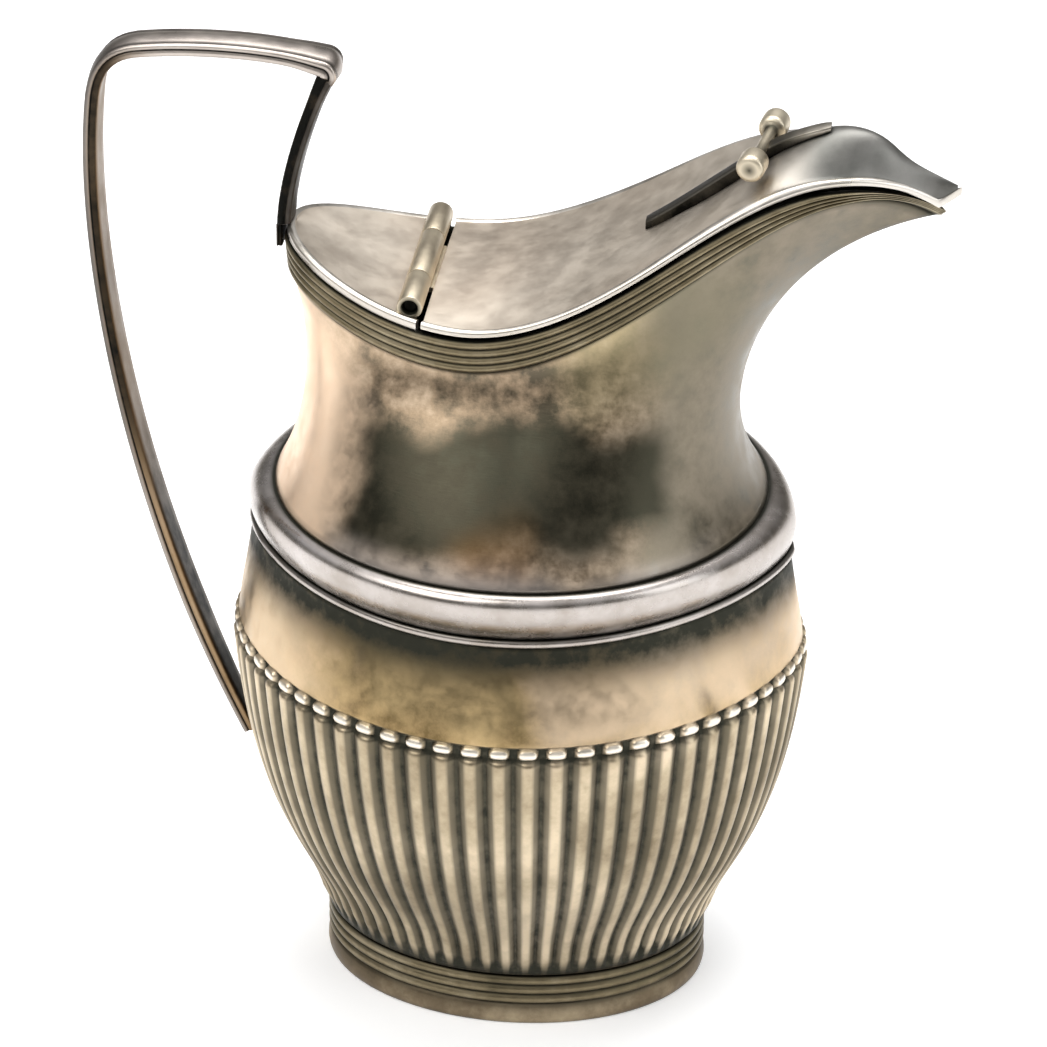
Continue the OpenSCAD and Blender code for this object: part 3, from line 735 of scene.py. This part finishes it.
def build_crossbar():
    """Turned bar with a drum-shaped knob at each end, a few degrees out of square."""
    bar_r, knob_r, length, knob_len = 1.1, 2.8, 23.8, 5.4
    half = length / 2
    inner = half - knob_len
    profile = [(0.02, half), (knob_r - 1.1, half - 0.02), (knob_r - 0.6, half - 0.1),
               (knob_r - 0.25, half - 0.32), (knob_r - 0.06, half - 0.7),
               (knob_r, half - 1.2), (knob_r, inner + 1.1), (knob_r - 0.08, inner + 0.6),
               (knob_r - 0.3, inner + 0.22), (knob_r - 0.8, inner), (bar_r + 0.15, inner - 0.15),
               (bar_r, inner - 0.6), (bar_r, 0.6)]
    profile += [(r, -y) for r, y in reversed(profile)]
    profile.reverse()
    angles = turns(48)
    rings = np.array([np.stack([r * np.cos(angles), np.full_like(angles, y),
                                r * np.sin(angles)], axis=-1) for r, y in profile])
    c, sn = math.cos(CROSSBAR_TURN), math.sin(CROSSBAR_TURN)
    x = rings[..., 0] * c - rings[..., 1] * sn
    y = rings[..., 0] * sn + rings[..., 1] * c
    height = float(strap_z(CROSSBAR_X)) + CROSSBAR_LIFT
    rings = np.stack([x + CROSSBAR_X, y, rings[..., 2] + height], axis=-1)
    dark = [0.9 if r < bar_r * 1.3 and abs(y) > 2 else 0.1 for r, y in profile]
    return ring_skin("thumb_bar", rings, np.repeat(dark, len(angles)), closed=False)


# ---- handle -------------------------------------------------------------------------------

# Middle line of the strap, as points and handles of cubic curves in the XZ plane
RISER = [(MOUTH_REAR_X - 0.1, 168.7), (MOUTH_REAR_X + 0.2, 177),
         (HANDLE_FRONT_X - 5.3, 190), (HANDLE_FRONT_X - 0.6, 200.6)]
TOP_BAR = [(HANDLE_FRONT_X - 1.8, HANDLE_TOP_Z - 1.6), (HANDLE_FRONT_X - 10, HANDLE_TOP_Z + 0.6),
           (HANDLE_REAR_X + 22, HANDLE_TOP_Z + 1.2), (HANDLE_REAR_X + 9, HANDLE_TOP_Z - 0.9)]
REAR_CORNER = [TOP_BAR[3], (HANDLE_REAR_X + 3.5, HANDLE_TOP_Z - 2),
               (HANDLE_REAR_X + 0.8, HANDLE_TOP_Z - 6), (HANDLE_REAR_X + 0.3, HANDLE_TOP_Z - 13)]


def curve_points(control, t):
    """Points at each t on the cubic curve with four control points."""
    a, b, c, d = (np.array(p, float) for p in control)
    return bezier(a, b, c, d, np.asarray(t)[:, None])


def handle_path():
    """(points, share of the sharp corner, share of the tail, number of the point at the
    corner) along the middle of the strap."""
    end_a, end_z = bowl_low(HANDLE_FOOT_SHARE)
    sweep = [REAR_CORNER[3], (HANDLE_REAR_X - 2.35, 166.6), (HANDLE_REAR_X + 2.1, 110.7),
             (-end_a - FLUTE_DEPTH - TAIL_T / 2 - 0.1, end_z)]
    riser = curve_points(RISER, np.linspace(0, 1, 20))
    turn = np.radians(np.linspace(-22, 72, 9))
    centre = np.array([HANDLE_FRONT_X - 1.7, HANDLE_TOP_Z - 3.4])
    arc = centre + 1.8 * np.stack([np.cos(turn), np.sin(turn)], axis=-1)
    bar = curve_points(TOP_BAR, np.linspace(0.06, 1, 24))
    rear = curve_points(REAR_CORNER, np.linspace(0, 1, 12)[1:])
    down = curve_points(sweep, np.linspace(0, 1, 60)[1:])
    points = np.concatenate([riser, arc, bar, rear, down])
    corner = len(riser) + len(arc) // 2
    travelled = np.concatenate([[0], np.cumsum(np.linalg.norm(np.diff(points, axis=0), axis=1))])
    near_corner = smooth(1 - np.abs(travelled - travelled[corner]) / 10)
    tail = np.clip(1 - (travelled[-1] - travelled) / 30, 0, 1)
    return points, near_corner, tail, corner


# Half of the strap's outline, from the middle of the outer face to the middle of the inner
# one: depth below the outer face as a share of the thickness, distance from the middle as a
# share of half the width, darkness (dark grooves, and painted shade on the inner face) and tone.
STRAP_HALF = [(0.0, 0.0, 0.0, 0.0), (0.03, 0.3, 0.0, 0.0), (0.09, 0.55, 0.1, 0.0),
              (0.17, 0.74, 0.8, 0.0), (0.11, 0.86, 0.1, 0.0), (0.18, 0.96, 0.0, 0.0),
              (0.3, 1.0, 0.0, 0.1), (0.42, 0.98, 0.3, 0.4), (0.48, 0.92, 1.0, 0.8),
              (0.54, 0.92, 1.0, 0.9), (0.6, 0.97, 0.4, 1.0), (0.75, 0.98, 0.0, 1.0),
              (0.92, 0.96, 0.1, 1.0), (1.0, 0.88, 0.75, 1.0), (1.0, 0.45, 0.97, 1.0),
              (1.0, 0.0, 0.97, 1.0)]
STRAP_OUTLINE = STRAP_HALF + [(d, -w, g, t) for d, w, g, t in STRAP_HALF[-2:0:-1]]
SWEEP_RING = 50                     # rings of the handle where its sweep begins, and where
LOW_SWEEP_RING = 96                 # its lower part begins


def strap_ring(place, width, thick):
    """Ring of the strap; place turns (out, across) in millimetres into a point."""
    return [place((0.5 - d) * thick, w * width / 2) for d, w, _, _ in STRAP_OUTLINE]


def handle_shade(riser_share):
    """(darkness, tone) of every ring of the handle: painted shade makes the riser nearly black
    and the sweep black on its sides, and the sweep turns brown towards its lower end."""
    depth, _, tarnish_shade_highlight, tone = np.array(STRAP_OUTLINE).T
    side = (depth > 0.5) & (depth < 0.95)
    inner = depth > 0.95
    ring = np.arange(len(riser_share))
    riser = np.array(riser_share)[:, None]
    sweep = smooth((ring - SWEEP_RING) / 10)[:, None]
    low = smooth((ring - LOW_SWEEP_RING) / 14)[:, None]
    # painted shade: the riser nearly black, the sides of the sweep black
    shade = np.maximum(tarnish_shade_highlight, riser * (0.86 + 0.14 * side))
    shade = np.maximum(shade, sweep * side * (0.93 - 0.75 * low))
    shade = shade * (1 - 0.45 * inner * sweep * (1 - low))
    shade = np.maximum(shade, sweep * (1 - tone) * (0.72 - 0.35 * low))
    return shade, np.maximum(sweep, riser) * tone


def build_handle():
    """Strap that rises from a tongue on the rim, turns back over a sharp corner and sweeps
    down to the flutes, where it runs out thinner."""
    points, near_corner, tail, corner = handle_path()
    last = len(points) - 1
    tongue_x = MOUTH_REAR_X - REED_D - 0.75
    rings = [strap_ring(lambda o, w: (tongue_x - o, w, z), HANDLE_W - 1, TONGUE_T)
             for z in (163.5, 168.0)]
    riser_share = [1.0] * len(rings)
    for i, p in enumerate(points):
        step = points[min(last, i + 1)] - points[max(0, i - 1)]
        n = np.array([step[1], -step[0]]) / np.linalg.norm(step)
        if i == 0:
            n = np.array([1.0, 0.0])
        width = HANDLE_W + 1.4 * near_corner[i] - 2 * tail[i]
        thick = HANDLE_T * (1 + 0.25 * near_corner[i]) * (1 - tail[i]) + TAIL_T * tail[i]
        rings.append(strap_ring(lambda o, w: (p[0] + o * n[0], w, p[1] + o * n[1]), width, thick))
        riser_share.append(float(smooth((corner - 2 - i) / 3)))
    tarnish_shade_highlight, tone = handle_shade(riser_share)
    return ring_skin("handle_strap", rings, tarnish_shade_highlight, closed=False, sharp_angle=60, tone=tone)


# ---- materials ----------------------------------------------------------------------------

BUMP_HEIGHT = 0.001
SCRATCH_HEIGHT = 0.00005
WANDER = 0.032                      # how far the edges of a cloud wander, in metres
# colour of the painted highlights
PAINTED_HIGHLIGHT_COLOUR = (0.86, 0.8, 0.7)


def add_node(tree, kind, **inputs):
    """Shader node with its unlinked inputs set by name."""
    node = tree.nodes.new(kind)
    for key, value in inputs.items():
        node.inputs[key].default_value = value
    return node


def ramp(tree, source, stops):
    """Colour ramp of (place, colour) stops driven by a value."""
    node = tree.nodes.new("ShaderNodeValToRGB")
    elements = node.color_ramp.elements
    while len(elements) < len(stops):
        elements.new(0.5)
    for element, (place, colour) in zip(elements, stops):
        element.position = place
        element.color = (*colour, 1)
    tree.links.new(source, node.inputs[0])
    return node.outputs[0]


def noise(tree, coordinates, scale, detail, roughness=0.55, distortion=0.0):
    """Noise from 0 to 1; scale is per metre."""
    node = add_node(tree, "ShaderNodeTexNoise", Scale=scale, Detail=detail,
                    Roughness=roughness, Distortion=distortion)
    tree.links.new(coordinates, node.inputs["Vector"])
    return node.outputs[0]


def maths(tree, operation, a, b, clamp=False):
    """Math node; a and b are sockets or numbers."""
    node = tree.nodes.new("ShaderNodeMath")
    node.operation = operation
    node.use_clamp = clamp
    for socket, value in zip(node.inputs, (a, b)):
        if isinstance(value, (int, float)):
            socket.default_value = value
        else:
            tree.links.new(value, socket)
    return node.outputs[0]


def mix(tree, factor, a, b):
    """Colour b over colour a by factor; each colour is a socket or three numbers."""
    node = tree.nodes.new("ShaderNodeMix")
    node.data_type = "RGBA"
    for socket, value in ((node.inputs[0], factor), (node.inputs[6], a), (node.inputs[7], b)):
        if isinstance(value, tuple):
            socket.default_value = (*value, 1)
        elif isinstance(value, (int, float)):
            socket.default_value = value
        else:
            tree.links.new(value, socket)
    return node.outputs[2]


def map_range(tree, source, low, high, to_low=0.0, to_high=1.0):
    """Smooth step of source from low to high, turned into to_low to to_high."""
    node = add_node(tree, "ShaderNodeMapRange")
    node.interpolation_type = "SMOOTHSTEP"
    tree.links.new(source, node.inputs[0])
    for index, value in enumerate((low, high, to_low, to_high)):
        node.inputs[index + 1].default_value = value
    return node.outputs[0]


def silver(name, stops, second=None, tarnish_shade_colour=(0.03, 0.03, 0.022), rough=(0.3, 0.48),
           patch_scale=16.0, clouds=(), scratches=0.3, dents=0.3, mottle=0.35):
    """Tarnished silver: mottled patina, dark hollows with painted shade, painted highlights, fine
    scratches, dents, varying gloss.
    stops is the patina's ramp and second the one that the tone attribute turns it into.
    mottle is the share of fine noise in it, and clouds are large patches, see cloud_mask."""
    material = bpy.data.materials.new(name)
    material.use_nodes = True
    tree = material.node_tree
    tree.nodes.clear()
    output = tree.nodes.new("ShaderNodeOutputMaterial")
    shader = add_node(tree, "ShaderNodeBsdfPrincipled", Metallic=1.0)
    tree.links.new(shader.outputs[0], output.inputs[0])
    place = tree.nodes.new("ShaderNodeTexCoord").outputs["Object"]
    broad = noise(tree, place, patch_scale, 3.0, 0.5, 0.8)
    fine = noise(tree, place, patch_scale * 9, 6.0, 0.65)
    blend = maths(tree, "ADD", maths(tree, "MULTIPLY", broad, 1 - mottle),
                  maths(tree, "MULTIPLY", fine, mottle))
    colour = ramp(tree, blend, stops)
    if second:
        colour = mix(tree, attribute(tree, "tone"), colour, ramp(tree, blend, second))
    for cloud in clouds:
        colour = mix(tree, cloud_mask(tree, place, broad, cloud), colour, cloud[0])
    uneven = maths(tree, "ADD", 0.75, maths(tree, "MULTIPLY", fine, 0.5))
    # tarnish in hollows and painted shade, mixed towards tarnish_shade_colour
    depth = maths(tree, "MULTIPLY", attribute(tree, "tarnish_shade_highlight"), uneven, clamp=True)
    colour = mix(tree, depth, colour, tarnish_shade_colour)
    # painted highlight where the darkness is negative
    highlight_mask = maths(tree, "MULTIPLY", attribute(tree, "tarnish_shade_highlight"), -1.0, clamp=True)
    colour = mix(tree, highlight_mask, colour, PAINTED_HIGHLIGHT_COLOUR)
    tree.links.new(colour, shader.inputs["Base Color"])
    gloss = map_range(tree, fine, 0.3, 0.7, rough[0], rough[1])
    tree.links.new(maths(tree, "ADD", gloss, maths(tree, "MULTIPLY", depth, 0.15)),
                   shader.inputs["Roughness"])
    tree.links.new(surface_bump(tree, place, scratches, dents), shader.inputs["Normal"])
    return material


def attribute(tree, name):
    """Value that the mesh carries for each point."""
    node = tree.nodes.new("ShaderNodeAttribute")
    node.attribute_name = name
    return node.outputs["Fac"]


def cloud_mask(tree, place, broad, cloud):
    """Soft-edged patch, its edges broken up by the patina. cloud is (colour, strength,
    (x0, x1), (z0, z1), softness, slant), in millimetres; slant is its rise along x."""
    _, strength, xs, zs, soft, slant = cloud
    split = tree.nodes.new("ShaderNodeSeparateXYZ")
    tree.links.new(place, split.inputs[0])
    wander = maths(tree, "MULTIPLY", maths(tree, "SUBTRACT", broad, 0.5), WANDER)
    level = maths(tree, "SUBTRACT", split.outputs[2],
                  maths(tree, "MULTIPLY", split.outputs[0], slant))
    mask = strength
    for position, (low, high) in ((split.outputs[0], xs), (level, zs)):
        value = maths(tree, "ADD", position, wander)
        for edge, start, end in ((low, 0.0, 1.0), (high, 1.0, 0.0)):
            side = map_range(tree, value, (edge - soft) * MM, (edge + soft) * MM, start, end)
            mask = maths(tree, "MULTIPLY", side, mask)
    return mask


def surface_bump(tree, place, scratches, dents):
    """Hand-worked surface: slow dents, then fine scratches that run round the object."""
    stretch = add_node(tree, "ShaderNodeMapping")
    stretch.inputs["Scale"].default_value = (1.0, 1.0, 9.0)
    tree.links.new(place, stretch.inputs["Vector"])
    lines = noise(tree, stretch.outputs[0], 420.0, 4.0, 0.7)
    slow = add_node(tree, "ShaderNodeBump", Strength=dents, Distance=BUMP_HEIGHT)
    tree.links.new(noise(tree, place, 30.0, 2.0, 0.4), slow.inputs["Height"])
    quick = add_node(tree, "ShaderNodeBump", Strength=scratches, Distance=SCRATCH_HEIGHT)
    tree.links.new(lines, quick.inputs["Height"])
    tree.links.new(slow.outputs[0], quick.inputs["Normal"])
    return quick.outputs[0]


def patina(dark, middle, light, places=(0.34, 0.5, 0.66)):
    """Stops of a patina ramp."""
    return list(zip(places, (dark, middle, light)))


def make_materials():
    """Every material of the jug, by a short name."""
    golden = patina((0.14, 0.095, 0.04), (0.44, 0.31, 0.15), (0.74, 0.54, 0.32),
                    places=(0.38, 0.5, 0.64))
    # Painted reflections on the neck: warm left side, olive shoulder, cool spout, dark middle (a
    # painted dark window), grey foot, copper spot
    neck_reflections = [
        ((0.95, 0.72, 0.52), 0.95, (-70, -33), (110, 160), 7, 0.0),
        ((0.42, 0.36, 0.2), 0.55, (10, 44), (134, 168), 8, 0.5),
        ((0.12, 0.115, 0.09), 0.78, (27, 95), (112, 190), 8, 0.0),
        ((0.04, 0.039, 0.027), 0.95, (-31, 34), (119, 138), 3.4, 0.12),
        ((0.5, 0.45, 0.42), 0.9, (-34, 42), (98, 116), 4, 0.0),
        ((0.2, 0.1, 0.03), 0.5, (-8, 8), (114, 121), 4, 0.0),
    ]
    # Pale gold at the left, in the middle and at the right of the smooth belt
    belt_clouds = [
        ((0.62, 0.5, 0.36), 0.6, (-70, -34), (80, 104), 7, 0.0),
        ((0.55, 0.42, 0.22), 0.5, (-30, 6), (80, 92), 5, -0.1),
        ((0.7, 0.56, 0.42), 0.6, (8, 70), (76, 96), 6, 0.1),
    ]
    return {
        "fluted": silver("fluted_silver",
                         patina((0.24, 0.19, 0.12), (0.46, 0.38, 0.26), (0.68, 0.57, 0.41),
                                places=(0.36, 0.5, 0.62)),
                         second=golden, tarnish_shade_colour=(0.036, 0.036, 0.027), patch_scale=30,
                         clouds=belt_clouds, mottle=0.3),
        "neck": silver("neck_silver",
                       patina((0.12, 0.1, 0.07), (0.36, 0.27, 0.18), (0.6, 0.47, 0.34),
                              places=(0.4, 0.5, 0.6)),
                       clouds=neck_reflections, mottle=0.5, patch_scale=20),
        "reeds": silver("reeded_silver",
                        patina((0.07, 0.06, 0.035), (0.22, 0.18, 0.11), (0.46, 0.4, 0.28)),
                        tarnish_shade_colour=(0.015, 0.015, 0.011), rough=(0.34, 0.5)),
        "foot": silver("foot_silver",
                       patina((0.07, 0.055, 0.035), (0.2, 0.155, 0.1), (0.44, 0.36, 0.24)),
                       tarnish_shade_colour=(0.02, 0.019, 0.014), rough=(0.34, 0.5), patch_scale=26),
        "bright": silver("rubbed_silver",
                         patina((0.26, 0.22, 0.18), (0.44, 0.4, 0.37), (0.6, 0.56, 0.54)),
                         rough=(0.2, 0.34)),
        "wire": silver("wire_silver",
                       patina((0.42, 0.38, 0.32), (0.58, 0.54, 0.48), (0.72, 0.68, 0.64)),
                       rough=(0.26, 0.4)),
        # Lid and rear cover: a light patina as a painted reflection of a white ceiling, and a dark
        # second one as a painted dark reflection
        "plate": silver("lid_silver",
                        patina((0.6, 0.5, 0.4), (0.7, 0.62, 0.52), (0.78, 0.71, 0.62)),
                        second=patina((0.08, 0.085, 0.075), (0.16, 0.158, 0.145),
                                      (0.26, 0.25, 0.235)),
                        rough=(0.38, 0.5), dents=0.04, mottle=0.3),
        "hinge": silver("hinge_silver",
                        patina((0.5, 0.42, 0.3), (0.66, 0.58, 0.44), (0.78, 0.7, 0.56)),
                        rough=(0.34, 0.46), dents=0.1),
        "handle": silver("handle_silver",
                         patina((0.26, 0.245, 0.22), (0.42, 0.37, 0.33), (0.58, 0.52, 0.47)),
                         second=patina((0.12, 0.075, 0.035), (0.3, 0.2, 0.11),
                                       (0.46, 0.33, 0.21)),
                         tarnish_shade_colour=(0.008, 0.008, 0.007), rough=(0.26, 0.4)),
        "dark": silver("thumb_silver",
                       patina((0.16, 0.14, 0.1), (0.32, 0.29, 0.24), (0.5, 0.46, 0.4)),
                       tarnish_shade_colour=(0.006, 0.006, 0.005), rough=(0.26, 0.4)),
    }


# ---- pieces -------------------------------------------------------------------------------

def place_piece(obj, node, slot, body, material):
    """Give a piece its material and let it stand for a CAD node, moving with its body."""
    obj.data.materials.clear()
    obj.data.materials.append(material)
    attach(obj, body)
    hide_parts(node)


def build_pieces():
    mats = make_materials()
    jug, lid = "jug", "lid"
    pieces = [
        (build_bowl(), "bowl", "silver", jug, mats["fluted"]),
        (build_foot_collar(), "foot_collar", "silver_dark", jug, mats["foot"]),
        (build_foot_reeding(), "foot_reeding", "silver_dark", jug, mats["reeds"]),
        (build_waist_bead(), "waist_bead", "silver_bright", jug, mats["bright"]),
        (build_waist_band(), "waist_band", "silver_bright", jug, mats["bright"]),
        (build_neck(), "neck", "silver", jug, mats["neck"]),
        (build_rim_reeding(), "rim_reeding", "silver_dark", jug, mats["reeds"]),
        (build_rear_cover(), "rear_cover", "silver", jug, mats["plate"]),
        (build_cover_wire(), "cover_edge_wire", "silver_bright", jug, mats["wire"]),
        (build_knuckle("hinge_barrel_near", "hinge_knuckle_near", COVER_FRONT_X, PIN_R),
         "hinge_knuckle_near", "silver_bright", jug, mats["hinge"]),
        (build_knuckle("hinge_barrel_far", "hinge_knuckle_far", COVER_FRONT_X, PIN_R),
         "hinge_knuckle_far", "silver_bright", jug, mats["hinge"]),
        (build_pin(), "hinge_pin", "silver_dark", jug, mats["dark"]),
        (build_handle(), "handle", "silver", jug, mats["handle"]),
        (build_knuckle("hinge_barrel_lid", "hinge_knuckle_lid", LID_REAR_X, PIN_R + PIN_PLAY),
         "hinge_knuckle_lid", "silver_bright", lid, mats["hinge"]),
        (build_lid(), "lid", "silver", lid, mats["plate"]),
        (build_lid_wire(), "lid_edge_wire", "silver_bright", lid, mats["wire"]),
        (build_thumb_strap(), "thumb_strap", "silver_dark", lid, mats["dark"]),
        (build_crossbar(), "thumb_crossbar", "silver_bright", lid, mats["hinge"]),
    ]
    for piece in pieces:
        place_piece(*piece)


# ---- stage, light and camera --------------------------------------------------------------

def build_floor():
    """Plain white ground with a little light of its own."""
    size = 3.0
    mesh = bpy.data.meshes.new("floor")
    mesh.from_pydata([(-size, -size, 0), (size, -size, 0), (size, size, 0), (-size, size, 0)],
                     [], [(0, 1, 2, 3)])
    floor = bpy.data.objects.new("floor", mesh)
    bpy.context.scene.collection.objects.link(floor)
    material = bpy.data.materials.new("pale_floor")
    material.use_nodes = True
    shader = material.node_tree.nodes["Principled BSDF"]
    shader.inputs["Base Color"].default_value = (0.93, 0.93, 0.93, 1)
    shader.inputs["Roughness"].default_value = 0.9
    shader.inputs["Emission Color"].default_value = (1, 1, 1, 1)
    shader.inputs["Emission Strength"].default_value = 0.25
    mesh.materials.append(material)


def area_light(name, place, target, size, power, colour=(1, 1, 1)):
    """Rectangular soft light at place, turned to target."""
    data = bpy.data.lights.new(name, "AREA")
    data.shape = "RECTANGLE"
    data.size, data.size_y = size
    data.energy = power
    data.color = colour
    light = bpy.data.objects.new(name, data)
    bpy.context.scene.collection.objects.link(light)
    light.location = place
    direction = Vector(target) - Vector(place)
    light.rotation_euler = direction.to_track_quat("-Z", "Y").to_euler()


def build_light():
    """Three soft lights and a studio that is dark just above the horizon."""
    middle = (0, 0, 0.1)
    area_light("key", (-0.5, -0.6, 1.0), middle, (0.8, 0.8), 7, (1, 0.99, 0.97))
    area_light("side", (0.95, -0.35, 0.5), middle, (0.5, 0.8), 3, (0.95, 0.98, 1))
    area_light("top", (0.05, 0.25, 1.1), middle, (0.9, 0.6), 9)
    world = bpy.data.worlds.new("studio")
    bpy.context.scene.world = world
    world.use_nodes = True
    tree = world.node_tree
    background = tree.nodes["Background"]
    split = tree.nodes.new("ShaderNodeSeparateXYZ")
    tree.links.new(tree.nodes.new("ShaderNodeTexCoord").outputs["Generated"], split.inputs[0])
    shade = ramp(tree, maths(tree, "ADD", maths(tree, "MULTIPLY", split.outputs[2], 0.5), 0.5),
                 [(0.5, (0.62, 0.6, 0.56)), (0.56, (0.16, 0.155, 0.14)), (0.68, (0.25, 0.25, 0.25)),
                  (0.9, (0.95, 0.95, 0.97))])
    tree.links.new(shade, background.inputs[0])
    background.inputs[1].default_value = 0.9


AZIMUTH = math.radians(7.5)
ELEVATION = math.radians(30.0)
LEAN = math.radians(0.7)
DISTANCE = 1.1165
LENS = 189.1
SHIFT = (0.0024, 0.0103)
LOOK_AT = Vector((0, 0, 0.1))


def build_camera():
    """Long lens at the photograph's viewing angle, leaning a little."""
    level = math.cos(ELEVATION)
    out = Vector((math.sin(AZIMUTH) * level, -math.cos(AZIMUTH) * level, math.sin(ELEVATION)))
    right = Vector((math.cos(AZIMUTH), math.sin(AZIMUTH), 0))
    up = out.cross(right)
    turned_right = right * math.cos(LEAN) + up * math.sin(LEAN)
    turned_up = out.cross(turned_right)
    data = bpy.data.cameras.new("camera")
    data.sensor_width = 36
    data.lens = LENS
    data.shift_x, data.shift_y = SHIFT
    camera = bpy.data.objects.new("camera", data)
    bpy.context.scene.collection.objects.link(camera)
    basis = Matrix((turned_right, turned_up, out)).transposed().to_4x4()
    camera.matrix_world = Matrix.Translation(LOOK_AT + out * DISTANCE) @ basis
    bpy.context.scene.camera = camera


build_camera()
build_floor()
build_light()
build_pieces()
bpy.context.scene.view_settings.view_transform = "Standard"
